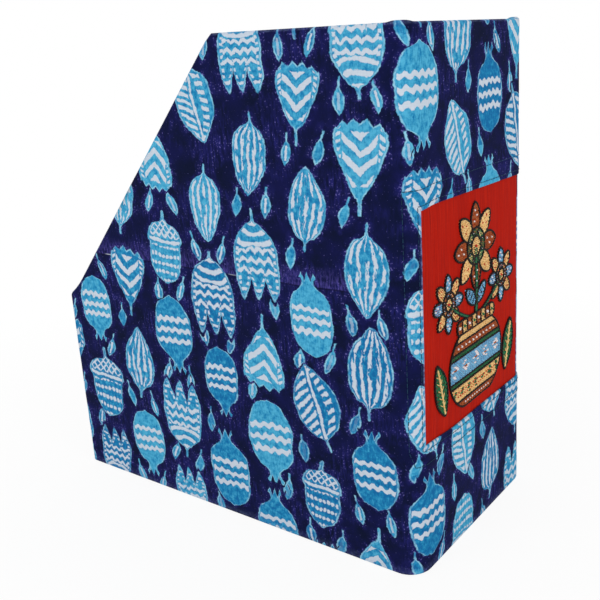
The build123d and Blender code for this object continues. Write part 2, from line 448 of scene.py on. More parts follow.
def addBump(tree, shader, height, strength, distance):
    bump = tree.nodes.new("ShaderNodeBump")
    bump.inputs["Strength"].default_value = strength
    bump.inputs["Distance"].default_value = distance * mm
    feed(tree, bump.inputs["Height"], height)
    tree.links.new(bump.outputs["Normal"], shader.inputs["Normal"])


def feedToned(tree, socket, colour, shade, darkest, lightest):
    # the weave's shade darkens and lightens a cloth's colour a little
    toned = tree.nodes.new("ShaderNodeHueSaturation")
    feed(tree, toned.inputs["Value"], ramp(tree, shade, 0.3, 0.7, darkest, lightest))
    feed(tree, toned.inputs["Color"], colour)
    feed(tree, socket, toned.outputs[0])


def objectPlace(tree):
    return tree.nodes.new("ShaderNodeTexCoord").outputs["Object"]


def uvPlace(tree, name):
    node = tree.nodes.new("ShaderNodeUVMap")
    node.uv_map = name
    return node.outputs["UV"]


def inMillimetres(tree, place):
    return vectorCalc(tree, "MULTIPLY", place, (1000.0, 1000.0, 1000.0))


# Shared effects


def humps(tree, value):
    # a row of round humps, one to each whole number
    return calc(tree, "ABSOLUTE", calc(tree, "SINE", calc(tree, "MULTIPLY", value, math.pi)))


def makeWeave():
    # plain weave: threads over and under each other, with uneven thickness
    tree, given, made = newGroup(
        "plainWeave",
        [("Vector", "NodeSocketVector", None), ("Pitch", "NodeSocketFloat", 0.4)],
        [("Height", "NodeSocketFloat"), ("Shade", "NodeSocketFloat")],
    )
    cloth = given["Vector"]
    parts = separate(tree, strayed(tree, cloth, cloth, 0.25, 2.0, 0.8))
    across = calc(tree, "DIVIDE", parts[0], given["Pitch"])
    along = calc(tree, "DIVIDE", parts[1], given["Pitch"])
    warp, weft = humps(tree, across), humps(tree, along)
    checks = calc(tree, "ADD", calc(tree, "FLOOR", across), calc(tree, "FLOOR", along))
    over = calc(tree, "FLOORED_MODULO", checks, 2.0)
    height = pick(tree, over, calc(tree, "MULTIPLY", weft, warp), calc(tree, "POWER", warp, 0.6))
    feed(tree, made["Height"], height)
    streaks = noiseOn(tree, scaled(tree, cloth, 3.0, 0.12), 1.0, 3.0)
    crossStreaks = noiseOn(tree, scaled(tree, cloth, 0.12, 3.0), 1.0, 3.0)
    feed(tree, made["Shade"], calc(tree, "MULTIPLY", calc(tree, "ADD", streaks, crossStreaks), 0.5))
    return tree


def makeFibres():
    # paper and board: short fibres and flecks in a pressed sheet
    tree, given, made = newGroup(
        "pressedFibres",
        [("Vector", "NodeSocketVector", None)],
        [("Height", "NodeSocketFloat"), ("Fleck", "NodeSocketFloat")],
    )
    fine = noiseOn(tree, scaled(tree, given["Vector"], 1.0, 0.25, 0.6), 2.2, 4.0, 0.6)
    feed(tree, made["Height"], fine)
    feed(tree, made["Fleck"], ramp(tree, noiseOn(tree, given["Vector"], 0.9, 3.0), 0.62, 0.7))
    return tree


def makeTwist():
    # twisted strands, read from a stitch's own map: along it, then round it
    tree, given, made = newGroup(
        "strandTwist",
        [("Vector", "NodeSocketVector", None), ("Turns", "NodeSocketFloat", 1.4)],
        [("Height", "NodeSocketFloat"), ("Shade", "NodeSocketFloat")],
    )
    parts = separate(tree, given["Vector"])
    run = calc(tree, "MULTIPLY_ADD", parts[0], given["Turns"], calc(tree, "MULTIPLY", parts[1], 3.0))
    strand = humps(tree, run)
    feed(tree, made["Height"], strand)
    shade = noiseOn(tree, scaled(tree, given["Vector"], 0.35, 2.0), 1.0, 2.0)
    feed(tree, made["Shade"], calc(tree, "MULTIPLY", shade, strand))
    return tree


weaveGroup = makeWeave()
fibreGroup = makeFibres()
twistGroup = makeTwist()

# Plant print on the outer cotton

plantLayout = {
    "columnWidth": 31.0,
    "rowHeight": 48.0,
    "columnDrop": 0.16,  # chance part of a column's drop, in rows, beside the half drop
    "leafTilt": 0.32,  # radians either way
    "wideTilt": 0.09,
    "sideways": 0.8,  # millimetres either way from the cell's middle
    "upDown": 1.5,
    "shrink": (0.24, 0.95),  # a plant's places are stretched by this much times chance, plus this
    "channel": 0.9,  # ground kept along a cell's edge
    "border": 1.3,  # blue left round the white
    "sway": 4.0,
    "roughness": 1.3,
    "uneven": 1.5,
}

# Half widths of each plant up its length, in the print's own millimetres
plantShapes = {
    "veinedLeaf": [
        (-24, -3), (-23, 0.5), (-18, 0.9), (-15.5, 5), (-9, 11.2),
        (0, 13.2), (8, 11.8), (15, 7), (21, 1), (22.5, -3),
    ],
    "pod": [
        (-24, -3), (-22, 2), (-19.5, 8), (-13, 12.6), (-4, 14.2), (5, 13.4),
        (11, 9.6), (14.5, 4.8), (17, 3.6), (21, 6.6), (24, 7.8),
    ],
    "tulip": [
        (-24, -3), (-23, 0.7), (-18.5, 0.9), (-15.5, 5), (-9, 11.2),
        (0, 13.6), (8, 13.8), (16, 13.8), (24, 13.6),
    ],
    "stripedLeaf": [
        (-24, -3), (-23, 0.7), (-19, 0.9), (-14, 7), (-6, 11.4),
        (2, 12), (10, 9.8), (17, 5), (22, 0.7), (23.5, -3),
    ],
    "acorn": [
        (-22.5, -3), (-20.5, 1.6), (-15, 9.4), (-6, 12.4), (3, 12.6), (6, 14.2),
        (10, 13.2), (14.5, 9), (17, 1.6), (22, 1.1), (23.5, -3),
    ],
    "fanLeaf": [
        (-24, -3), (-23, 0.8), (-16, 1.1), (-13, 3.4), (-4, 9),
        (4, 13), (11, 14.6), (17, 13), (21, 7), (22.5, -3),
    ],
}
plantShares = {"pod": 0.20, "tulip": 0.40, "stripedLeaf": 0.56, "acorn": 0.73, "fanLeaf": 0.84}
# A curve node takes 0 to 1, so the heights and widths are moved and scaled into it
profileReach = 24.0
profileScale = 20.0
profileLift = 3.0

# White stripes: pitch, then the share of it that is white
plantStripes = {
    "veins": (4.1, 0.52),
    "bars": (4.1, 0.5),
    "waves": (6.3, 0.44),
    "teeth": (6.3, 0.38),
    "zigzags": (4.9, 0.44),
    "arcs": (5.6, 0.42),
    "ticks": (3.0, 0.5),
    "lines": (3.8, 0.46),
    "hatch": (4.9, 0.3),
    "chevrons": (8.4, 0.44),
    "edgeBars": (3.4, 0.5),
}

# Small buds in the corners beside the plants' ends
budLayout = {
    "place": 9.2,
    "halfWidth": 2.9,
    "halfHeight": 5.8,
    "share": 0.74,
    "stalkHalf": 0.55,
    "stalkTop": 9.0,
    "dashHalf": 0.6,
    "dashReach": 3.4,
    "dashShare": 0.4,
    "gap": 1.3,  # ground between a bud and the plant beside it
}


def makePlantPrint():
    tree, given, made = newGroup(
        "plantPrint",
        [("Vector", "NodeSocketVector", None)],
        [(label, "NodeSocketFloat") for label in ("Body", "White", "Rim", "Near", "Tone")],
    )

    def m(operation, *values):
        return calc(tree, operation, *values)

    def least(first, *others):
        for other in others:
            first = m("MINIMUM", first, other)
        return first

    def most(first, *others):
        for other in others:
            first = m("MAXIMUM", first, other)
        return first

    def size(value):
        return m("ABSOLUTE", value)

    def within(half, value):
        # millimetres inside a band about zero
        return m("SUBTRACT", half, size(value))

    def stripes(kind, place):
        # millimetres inside the nearest stripe
        pitch, share = plantStripes[kind]
        phase = m("FRACT", m("DIVIDE", place, pitch))
        return m("MULTIPLY", m("SUBTRACT", share / 2, size(m("SUBTRACT", phase, 0.5))), pitch)

    def zigzag(place, pitch, reach):
        return m("MULTIPLY", m("PINGPONG", place, pitch / 2), 2 * reach / pitch)

    def chanceIn(x, y):
        # chance values of a cell: one alone, then three
        draw = tree.nodes.new("ShaderNodeTexWhiteNoise")
        draw.noise_dimensions = "2D"
        tree.links.new(combine(tree, x, y), draw.inputs["Vector"])
        dice = tree.nodes.new("ShaderNodeSeparateColor")
        tree.links.new(draw.outputs["Color"], dice.inputs[0])
        return draw.outputs["Value"], dice.outputs

    def profile(name):
        # the plant's half width at this height
        node = tree.nodes.new("ShaderNodeFloatCurve")
        curve = node.mapping.curves[0]
        points = [
            (y / (2 * profileReach) + 0.5, (width + profileLift) / profileScale)
            for y, width in plantShapes[name]
        ]
        curve.points[0].location = points[0]
        curve.points[1].location = points[-1]
        for point in points[1:-1]:
            curve.points.new(*point)
        for point in curve.points:
            point.handle_type = "AUTO_CLAMPED"
        node.mapping.extend = "HORIZONTAL"
        node.mapping.update()
        feed(tree, node.inputs["Value"], along)
        return m("MULTIPLY_ADD", node.outputs[0], profileScale, -profileLift)

    # hand-cut edges: the places wander a little
    cloth = given["Vector"]
    swayed = strayed(tree, cloth, cloth, 0.07, 1.0, plantLayout["sway"])
    place = strayed(tree, swayed, cloth, 0.7, 2.0, plantLayout["roughness"])
    uneven = m("MULTIPLY", m("SUBTRACT", noiseOn(tree, cloth, 0.3, 1.0), 0.5), plantLayout["uneven"])
    parts = separate(tree, place)

    # columns of cells, every other one half a row down
    wide, tall = plantLayout["columnWidth"], plantLayout["rowHeight"]
    columnPlace = m("DIVIDE", parts[0], wide)
    column = m("FLOOR", columnPlace)
    cellX = m("MULTIPLY", m("SUBTRACT", m("SUBTRACT", columnPlace, column), 0.5), wide)
    chance = tree.nodes.new("ShaderNodeTexWhiteNoise")
    chance.noise_dimensions = "1D"
    feed(tree, chance.inputs["W"], column)
    half = m("MULTIPLY", m("FLOORED_MODULO", column, 2.0), 0.5)
    drop = m("MULTIPLY_ADD", chance.outputs["Value"], plantLayout["columnDrop"], half)
    rowPlace = m("ADD", m("DIVIDE", parts[1], tall), drop)
    row = m("FLOOR", rowPlace)
    cellY = m("MULTIPLY", m("SUBTRACT", m("SUBTRACT", rowPlace, row), 0.5), tall)

    # what each cell holds, and how it is turned
    kind, dice = chanceIn(column, row)
    isKind = {name: m("GREATER_THAN", kind, share) for name, share in plantShares.items()}
    slim = m("ADD", m("SUBTRACT", 1.0, isKind["pod"]), m("SUBTRACT", isKind["stripedLeaf"], isKind["acorn"]))
    wideTilt, extraTilt = plantLayout["wideTilt"], plantLayout["leafTilt"] - plantLayout["wideTilt"]
    tilt = m("MULTIPLY_ADD", slim, 2 * extraTilt, 2 * wideTilt)
    shrink = m("MULTIPLY_ADD", m("FRACT", m("MULTIPLY", kind, 91.0)), *plantLayout["shrink"])
    sideways, upDown = plantLayout["sideways"], plantLayout["upDown"]
    spot = combine(
        tree,
        m("MULTIPLY", m("ADD", cellX, m("MULTIPLY_ADD", dice[1], 2 * sideways, -sideways)), shrink),
        m("MULTIPLY", m("ADD", cellY, m("MULTIPLY_ADD", dice[2], 2 * upDown, -upDown)), shrink),
    )
    turned = tree.nodes.new("ShaderNodeVectorRotate")
    turned.rotation_type = "Z_AXIS"
    tree.links.new(spot, turned.inputs["Vector"])
    feed(tree, turned.inputs["Angle"], m("MULTIPLY", m("SUBTRACT", dice[0], 0.5), tilt))
    local = separate(tree, turned.outputs[0])
    x = local[0]
    upright = m("MULTIPLY_ADD", m("GREATER_THAN", m("FRACT", m("MULTIPLY", kind, 37.0)), 0.4), 2.0, -1.0)
    y = m("MULTIPLY", local[1], upright)
    side = size(x)
    along = m("MULTIPLY_ADD", y, 1 / (2 * profileReach), 0.5)

    # each plant, from its half width: millimetres inside its outline, and inside its white

    def veinedLeaf(width):
        # slanting veins on one half and a row of short bars on the other
        midrib = m("SUBTRACT", 0.8, side)
        leftHalf = m("SUBTRACT", m("MULTIPLY", x, -1.0), 2.0)
        veins = least(stripes("veins", m("MULTIPLY_ADD", side, 0.5, y)), leftHalf)
        barMiddle = m("SUBTRACT", x, m("MULTIPLY", width, 0.52))
        bars = least(stripes("bars", m("MULTIPLY_ADD", side, -0.4, y)), within(2.2, barMiddle))
        return m("SUBTRACT", width, side), most(midrib, veins, bars)

    def pod(width):
        # wavy or toothed bands below, spiked crown on top
        spikes = m("SUBTRACT", m("SUBTRACT", 22.5, zigzag(side, 4.2, 4.5)), y)
        waves = stripes("waves", m("MULTIPLY_ADD", m("SINE", m("MULTIPLY", x, 1.25)), 0.7, y))
        teeth = m("MULTIPLY_ADD", m("PINGPONG", x, 1.3), 1.1, m("SUBTRACT", stripes("teeth", y), 0.6))
        bands = pick(tree, m("GREATER_THAN", dice[0], 0.5), waves, teeth)
        bands = least(bands, m("SUBTRACT", 5.0, y), m("ADD", y, 12.0))
        return least(m("SUBTRACT", width, side), spikes), bands

    def tulip(width):
        # three petals, zigzag rows, arcs at the foot and ticks up its sides
        dip = m("POWER", m("DIVIDE", m("PINGPONG", side, 4.7), 4.7), 1.6)
        petals = m("SUBTRACT", m("MULTIPLY_ADD", dip, -11.0, 21.5), y)
        outline = least(m("SUBTRACT", width, side), m("MULTIPLY", petals, 0.5))
        zigzags = stripes("zigzags", m("ADD", y, zigzag(x, 5.2, 2.0)))
        zigzags = least(zigzags, m("SUBTRACT", 8.5, y), m("ADD", y, 4.5), m("SUBTRACT", outline, 2.8))
        fromFoot = m("SQRT", m("ADD", m("MULTIPLY", x, x), m("POWER", m("ADD", y, 25.0), 2.0)))
        arcs = least(stripes("arcs", fromFoot), m("SUBTRACT", -5.0, y))
        ticks = least(stripes("ticks", y), m("SUBTRACT", 3.0, outline), m("ADD", y, 6.0))
        return outline, most(zigzags, arcs, ticks)

    def stripedLeaf(width):
        # lengthwise stripes that break here and there
        spread = m("DIVIDE", m("MULTIPLY", x, 11.0), m("ADD", size(width), 0.8))
        breaks = noiseOn(tree, scaled(tree, place, 1.0, 0.3), 0.42, 1.0)
        breaks = m("MULTIPLY", m("SUBTRACT", breaks, 0.58), -9.0)
        return m("SUBTRACT", width, side), least(stripes("lines", m("ADD", spread, 1.9)), breaks)

    def acorn(width):
        # crossed lines on the cap, dots on the nut
        hatch = most(stripes("hatch", m("ADD", x, y)), stripes("hatch", m("SUBTRACT", x, y)))
        cap = least(hatch, m("SUBTRACT", y, 7.4))
        capLine = within(1.0, m("SUBTRACT", y, 5.4))
        dotX = m("MULTIPLY_ADD", m("FLOOR", m("DIVIDE", y, 5.6)), 3.0, x)
        dotX = m("SUBTRACT", m("PINGPONG", dotX, 3.0), 1.5)
        dotY = m("SUBTRACT", m("FLOORED_MODULO", y, 5.6), 2.8)
        fromDot = m("SQRT", m("ADD", m("MULTIPLY", dotX, dotX), m("MULTIPLY", dotY, dotY)))
        dots = least(m("SUBTRACT", 1.25, fromDot), m("SUBTRACT", 2.6, y))
        return m("SUBTRACT", width, side), most(cap, capLine, dots)

    def fanLeaf(width):
        # broad slanting bars that meet in the middle, scalloped top
        scallopTop = m("MULTIPLY_ADD", m("PINGPONG", side, 3.2), 0.8, 18.0)
        scallops = m("SUBTRACT", scallopTop, m("MULTIPLY_ADD", m("MULTIPLY", x, x), 0.016, y))
        chevrons = stripes("chevrons", m("MULTIPLY_ADD", side, -0.85, y))
        chevrons = least(chevrons, m("SUBTRACT", 9.6, side), m("ADD", y, 10.0), m("SUBTRACT", 15.0, y))
        edgeBars = least(stripes("edgeBars", m("MULTIPLY_ADD", side, 0.5, y)), m("SUBTRACT", side, 10.4))
        return least(m("SUBTRACT", width, side), scallops), most(chevrons, edgeBars)

    inside, white = veinedLeaf(profile("veinedLeaf"))
    others = {"pod": pod, "tulip": tulip, "stripedLeaf": stripedLeaf, "acorn": acorn, "fanLeaf": fanLeaf}
    for name, plant in others.items():
        plantInside, plantWhite = plant(profile(name))
        inside = pick(tree, isKind[name], inside, plantInside)
        white = pick(tree, isKind[name], white, plantWhite)

    # a channel of ground stays between the plants
    channel = plantLayout["channel"]
    room = least(within(wide / 2 - channel, cellX), within(tall / 2 - channel, cellY))
    inside = least(m("DIVIDE", inside, shrink), room)

    # buds: a lens with a stalk, some with a white dash
    budRow = m("ROUND", rowPlace)
    budKind, budDice = chanceIn(m("MULTIPLY_ADD", column, 2.0, m("GREATER_THAN", cellX, 0.0)), budRow)
    budY = m("MULTIPLY_ADD", m("SUBTRACT", rowPlace, budRow), tall, m("MULTIPLY_ADD", budDice[1], 4.0, -2.0))
    budX = m("SUBTRACT", size(cellX), m("MULTIPLY_ADD", budDice[0], 2.0, budLayout["place"] - 1.0))
    budX = m("MULTIPLY_ADD", m("MULTIPLY", budY, m("SUBTRACT", budDice[2], 0.5)), 0.8, budX)
    budBulge = budLayout["halfWidth"] / budLayout["halfHeight"] ** 2
    lens = m("MULTIPLY_ADD", m("MULTIPLY", budY, budY), -budBulge, budLayout["halfWidth"])
    lens = m("SUBTRACT", lens, size(budX))
    stalk = within(budLayout["stalkHalf"], budX)
    stalk = least(stalk, m("SUBTRACT", budLayout["stalkTop"], budY), m("ADD", budY, 1.0))
    absent = m("MULTIPLY", m("GREATER_THAN", budKind, budLayout["share"]), -20.0)
    clear = m("SUBTRACT", m("MULTIPLY", inside, -1.0), budLayout["gap"])
    bud = least(m("ADD", most(lens, stalk), absent), clear)
    dash = least(within(budLayout["dashHalf"], budX), within(budLayout["dashReach"], budY))
    dash = least(dash, m("SUBTRACT", budLayout["dashShare"], budKind))

    body = m("MAXIMUM", inside, bud)
    plantWhite = least(m("ADD", white, uneven), m("SUBTRACT", inside, plantLayout["border"]))
    white = most(plantWhite, least(dash, bud))
    feed(tree, made["Body"], clampSum(tree, body, 2.2))
    feed(tree, made["White"], clampSum(tree, white, 2.4))
    feed(tree, made["Rim"], clampSum(tree, within(0.5, m("SUBTRACT", body, 0.35)), 2.2))
    feed(tree, made["Near"], clampSum(tree, body, 0.22, 1.0))
    feed(tree, made["Tone"], dice[2])
    return tree


plantGroup = makePlantPrint()
print("shader groups made")

# Printed cotton

printedCotton = {
    "ground": (9, 17, 46),
    "groundLight": (16, 20, 67),
    "groundBrush": (33, 34, 102),
    "speckle": (112, 106, 180),
    "bandBrush": (84, 76, 160),
    # the join line's dark colour, partly painted shade of the crease along the join
    "seam": (8, 8, 30),
    "blue": (34, 134, 182),
    "blueDark": (20, 104, 160),
    "blueLight": (80, 174, 210),
    "rim": (150, 204, 226),
    "white": (201, 210, 221),
    "worn": (132, 150, 198),
    "scale": 0.83,
    "joinHeight": 163.4,  # where one printing ends and the next begins
    "joinOnSides": 96.0,  # the join shows this far from the spine's middle
    "planOffset": 20.0,
    "weavePitch": 0.42,
}


def makePrintedCotton():
    material, tree, shader = newMaterial("printedCotton", 0.85, 0.0, 0.06)
    plan = inMillimetres(tree, uvPlace(tree, "clothPlan"))
    printPlace = vectorCalc(tree, "MULTIPLY", plan, (printedCotton["scale"],) * 3)
    plants = useGroup(tree, plantGroup, Vector=printPlace)
    weave = useGroup(tree, weaveGroup, Vector=plan, Pitch=printedCotton["weavePitch"])
    parts = separate(tree, plan)

    def m(operation, *values):
        return calc(tree, operation, *values)

    def dye(colour, share, name, strength=1.0):
        # lays another of the cloth's colours over what is there
        if strength != 1.0:
            share = m("MULTIPLY", share, strength)
        return blendColour(tree, share, colour, paint(*printedCotton[name]))

    # ground: cloudy, with pale specks that crowd round the plants
    cloud = ramp(tree, noiseOn(tree, plan, 0.06, 4.0, 0.6), 0.38, 0.66)
    ground = dye(paint(*printedCotton["ground"]), cloud, "groundLight")
    patches = ramp(tree, noiseOn(tree, plan, 0.04, 2.0), 0.46, 0.6)
    strokes = ramp(tree, noiseOn(tree, scaled(tree, plan, 1.0, 0.22), 0.55, 3.0, 0.6), 0.42, 0.62)
    brushed = m("MULTIPLY", patches, strokes)
    halo = m("MULTIPLY", plants["Near"], ramp(tree, noiseOn(tree, plan, 0.16, 3.0, 0.6), 0.42, 0.58))
    ground = dye(ground, m("MAXIMUM", m("MULTIPLY", brushed, 0.8), m("MULTIPLY", halo, 0.75)), "groundBrush")
    dots = noiseOn(tree, plan, 0.9, 1.0)
    crowd = m("MAXIMUM", halo, m("MULTIPLY", brushed, 0.7))
    specks = clampSum(tree, m("ADD", dots, m("MULTIPLY_ADD", crowd, 0.2, -0.71)), 8.0, 0.0)
    ground = dye(ground, specks, "speckle", 0.75)

    # two printings meet across the sides: a brushed band above the line, a bare thread in it; the dark line
    # is partly the join itself and partly painted shade of the crease along it
    offset = printedCotton["planOffset"]
    bend = m("MULTIPLY", noiseOn(tree, scaled(tree, plan, 1.0, 0.0), 0.015, 1.0), 5.0)
    above = m("SUBTRACT", parts[1], m("ADD", bend, printedCotton["joinHeight"] + offset - 2.5))
    fromSpine = m("ABSOLUTE", m("SUBTRACT", parts[0], spineMiddle + offset))
    onSide = clampSum(tree, m("SUBTRACT", fromSpine, printedCotton["joinOnSides"]), 0.1, 0.0)
    streaks = ramp(tree, noiseOn(tree, scaled(tree, plan, 1.0, 0.3), 0.8, 3.0, 0.65), 0.42, 0.66)
    band = m("MULTIPLY", clampSum(tree, above, 1.5, 0.0), clampSum(tree, above, -0.1, 1.25))
    band = m("MULTIPLY", m("MULTIPLY", band, streaks), onSide)
    ground = dye(ground, band, "bandBrush", 0.75)
    line = m("MULTIPLY", clampSum(tree, m("ABSOLUTE", above), -1.6, 1.1), onSide)

    # blue: mottled and brushed, paler along some edges
    mottle = noiseOn(tree, plan, 0.3, 4.0, 0.65)
    brush = noiseOn(tree, scaled(tree, plan, 1.0, 0.25), 1.0, 2.0, 0.6)
    wash = m("ADD", m("MULTIPLY", mottle, 1.1), m("MULTIPLY", brush, 0.5))
    wash = m("MULTIPLY_ADD", plants["Tone"], 0.3, wash)
    blue = dye(paint(*printedCotton["blue"]), ramp(tree, wash, 0.94, 0.74), "blueDark")
    blue = dye(blue, ramp(tree, wash, 0.92, 1.18), "blueLight")
    rimShare = ramp(tree, noiseOn(tree, plan, 0.2, 2.0), 0.4, 0.6, 0.1, 0.85)
    blue = dye(blue, m("MULTIPLY", plants["Rim"], rimShare), "rim")

    colour = blendColour(tree, plants["Body"], ground, blue)
    colour = dye(colour, plants["White"], "white", 0.96)
    notBody = m("SUBTRACT", 1.0, plants["Body"])
    # dark line along the join: partly the join, partly painted shade of its crease
    colour = dye(colour, m("MULTIPLY", line, notBody), "seam", 0.55)
    thread = ramp(tree, noiseOn(tree, scaled(tree, plan, 0.045, 0.0), 1.0, 1.0), 0.56, 0.62)
    bareLine = clampSum(tree, m("ABSOLUTE", m("SUBTRACT", above, 0.4)), -3.0, 1.3)
    bare = m("MULTIPLY", m("MULTIPLY", m("MULTIPLY", bareLine, thread), onSide), notBody)
    colour = dye(colour, bare, "white", 0.75)

    # paler where the cloth turns over an edge, and a little by thread
    worn = tree.nodes.new("ShaderNodeAttribute")
    worn.attribute_name = "edgeWear"
    rub = m("MULTIPLY", worn.outputs["Fac"], ramp(tree, noiseOn(tree, plan, 0.5, 3.0), 0.4, 0.7, 0.1, 0.6))
    colour = dye(colour, rub, "worn", 0.35)
    feedToned(tree, shader.inputs["Base Color"], colour, weave["Shade"], 0.9, 1.1)
    feed(tree, shader.inputs["Roughness"], ramp(tree, weave["Shade"], 0.3, 0.7, 0.78, 0.92))
    addBump(tree, shader, m("ADD", weave["Height"], m("MULTIPLY", mottle, 1.5)), 0.35, 0.09)
    return material


printMaterial = makePrintedCotton()

# Printed cloth round the whole outside

printWrap = {
    "ply": 0.5,
    "inner": 4.3,  # depth of the cloth that is turned down inside
    "foldRadius": 1.2,
    "footHeight": 0.8,
    "footRadius": 1.0,
    "faceTop": 298.5,
    "turnUnder": [15.0, 11.0, 7.0, 3.5],
    "turnIn": [3.0, 6.0, 10.0, 15.0],
    # the window's edge, turned back behind the cloth: how far out, how deep
    "hemTurn": [(-0.28, 0.42), (-0.34, 0.62), (-0.2, 0.84), (0.6, 0.93), (4.0, 0.93), (10.0, 0.93)],
    "lap": [2.0, 4.5, 7.5, 9.0],
    "lapLift": 0.55,
    "lapBlend": 5.0,
    "slack": 0.26,
    # where the rim's turning is thick, at the corners: place, half width, rise
    "rimLumps": [(-67.0, 6.2, 0.85), (67.0, 5.0, 1.1)],
    "hemRise": 0.34,
    "stitchDent": 0.3,
    "creaseAt": 205.0,  # along the near side, from its front
    "creaseRise": 0.16,
    "foldWear": 4.5,
}
clothGrid = {
    "rowPitch": 4.6,
    "columnPitch": 4.7,
    "lowest": 1.8,
    "highest": 296.0,
    "rowGap": 1.9,  # plain lines stay this far from the special ones
    "columnGap": 1.6,
    "leastGap": 0.12,
    "steps": (6, 10, 1),  # sharp corners, round corners, long straight runs
    "roundWindow": [0, 0.7, 1.4, 2.0, 2.6, 3.5, 5, 7, 9, 9.7, 10.2, 10.8, 11.6, 13, 15],
}


def bell(away, width):
    return math.exp(-((away / width) ** 2))


def hemDistance(run, z):
    # how far outside the window's edge a point lies, along the cloth
    return max(nearLine - run, run - farLine, lowLine - z, z - highLine)


def clothRise(run, z, top=printWrap["faceTop"]):
    # how far the cloth stands off its board: paste, slack, the hem and its stitches
    rise = printWrap["slack"] * (0.7 * wave(run, z, 42, 3.1) + 0.5 * wave(run, z, 17, 8.2))
    rise *= fade(z, 2, 14) * fade(top - z, 1, 12)
    hem = hemDistance(run, z)
    if -0.1 < hem < 16:
        lump = fade(hem, -2.0, 0.6) * fade(14 - hem, 0, 3.0)
        rise += printWrap["hemRise"] * lump * (0.8 + 0.5 * wave(run, z, 9, 5.0))
        for row, deep in ((window["edgeRow"], 0.7), (window["outerRow"], 1.0)):
            pull = deep * bell(hem - row, 0.8) * (0.7 + 0.5 * wave(run, z, 4, 1.0))
            rise -= printWrap["stitchDent"] * pull
    crease = bell(run - runStarts[2] - printWrap["creaseAt"], 1.6)
    return rise + printWrap["creaseRise"] * crease * fade(z, 10, 40)


def foldWear(run, z):
    # the window's near edge is rubbed pale along its fold
    return printWrap["foldWear"] * fade(1.3 - abs(nearLine - run), 0, 1.2) * (lowLine <= z <= highLine)


def clothLines():
    # rows and columns of the cloth's grid, closer round the window and the corners
    grid = clothGrid
    near, pitch = grid["roundWindow"], grid["rowPitch"]
    special = [lowLine - d for d in near] + [highLine + d for d in near]
    rows = [grid["lowest"] + pitch * i for i in range(int(grid["highest"] / pitch) + 1)]
    rows = [z for z in rows if min(abs(z - s) for s in special) > grid["rowGap"] and z < grid["highest"]]
    rows = sorted(rows + special + [printWrap["faceTop"]])
    sideLines = [nearLine - d for d in near] + [farLine + d for d in near]
    marks = sideLines + [0.0, wholeRun]
    for start, length in zip(runStarts, outerRuns):
        steps = stepsFor(length, grid["steps"])
        marks += [start + length * k / steps for k in range(steps)]
    pitch = grid["columnPitch"]
    plain = [pitch * i for i in range(1, int(wholeRun / pitch))]
    plain = [c for c in plain if min(abs(c - k) for k in marks) > grid["columnGap"]]
    columns = sorted(set(round(c, 4) for c in marks + plain))
    columns = [
        c for i, c in enumerate(columns)
        if i == 0 or c - columns[i - 1] > grid["leastGap"] or c in sideLines
    ]
    return rows, columns + [wholeRun + d for d in printWrap["lap"]]


def clothStations(rows):
    # the cloth's course from under the base, up the wall, over the rim and down inside;
    # a station is its part, its inset, and its height, its share of the face or its drop
    middle, deep, fold = holder["clothMiddle"], printWrap["inner"], printWrap["foldRadius"]
    low, bend = printWrap["footHeight"], printWrap["footRadius"]
    quarter = [math.radians(a) for a in (22.5, 45, 67.5, 90)]
    stations = [("under", inset, low) for inset in printWrap["turnUnder"]]
    for a in (0.0, 0.4, 0.8, 1.2):
        stations.append(("under", middle + bend * (1 - math.sin(a)), low + bend * (1 - math.cos(a))))
    stations += [("face", middle, (z - low - bend) / (printWrap["faceTop"] - low - bend)) for z in rows]
    for a in quarter:
        stations.append(("rim", middle + fold * (1 - math.cos(a)), middle + fold * (1 - math.sin(a))))
    for a in [0.0] + quarter:
        stations.append(("rim", deep - fold * (1 - math.sin(a)), middle + fold * (1 - math.cos(a))))
    return stations + [("in", deep, drop) for drop in printWrap["turnIn"]]


def clothPlan(run, up):
    offset = printedCotton["planOffset"]
    return (run + offset) * mm, (up + offset) * mm


def drapeColumn(run, stations):
    # one column of the cloth, from under the base to inside the rim: points, plan and wear
    middle, deep = holder["clothMiddle"], printWrap["inner"]
    faceLow = printWrap["footHeight"] + printWrap["footRadius"]
    lap = fade(run, wholeRun - printWrap["lapBlend"], wholeRun)
    lift = printWrap["lapLift"] * lap
    across = run - spineMiddle
    proud = sum(rise * math.exp(-(((across - at) / half) ** 4)) for at, half, rise in printWrap["rimLumps"])
    points, plans, wear = [], [], []
    slip = 0.0
    for part, inset, level in stations:
        if part == "under":
            # the lap lies outside the cloth's other end, and under it below the base
            x, y, _ = wallPlace(run, inset - lift * (inset < 3), inset)
            z = level - lift * (inset > 1.4)
            up = z - inset + middle + printWrap["footRadius"]
            worn = 0.0
        elif part == "face":
            top = rimPlace(run, middle, middle, middle + printWrap["foldRadius"])[2]
            z = mix(faceLow, top, level)
            depth = inset - lift - clothRise(run, z, top)
            slip, slide = edgeSlip(run, z)
            z += slide
            x, y, _ = wallPlace(run + slip, depth, depth)
            up = z
            worn = fade(z, 6, 1) + foldWear(run, z)
        else:
            inward = inset - lift * (1 - fade(inset, middle, deep)) + (0.3 * lap if inset > deep - 0.1 else 0)
            drop = level - (lift + proud if part == "rim" else 0)
            x, y, z = rimPlace(run, inward, spineInset(inset) - (inset - inward), drop)
            slip = 0.0
            up += (Vector((x, y, z)) - points[-1]).length
            worn = 1.0 if part == "rim" else 0.0
        points.append(Vector((x, y, z)))
        plans.append(clothPlan(run + slip, up))
        wear.append(worn)
    return points, plans, wear


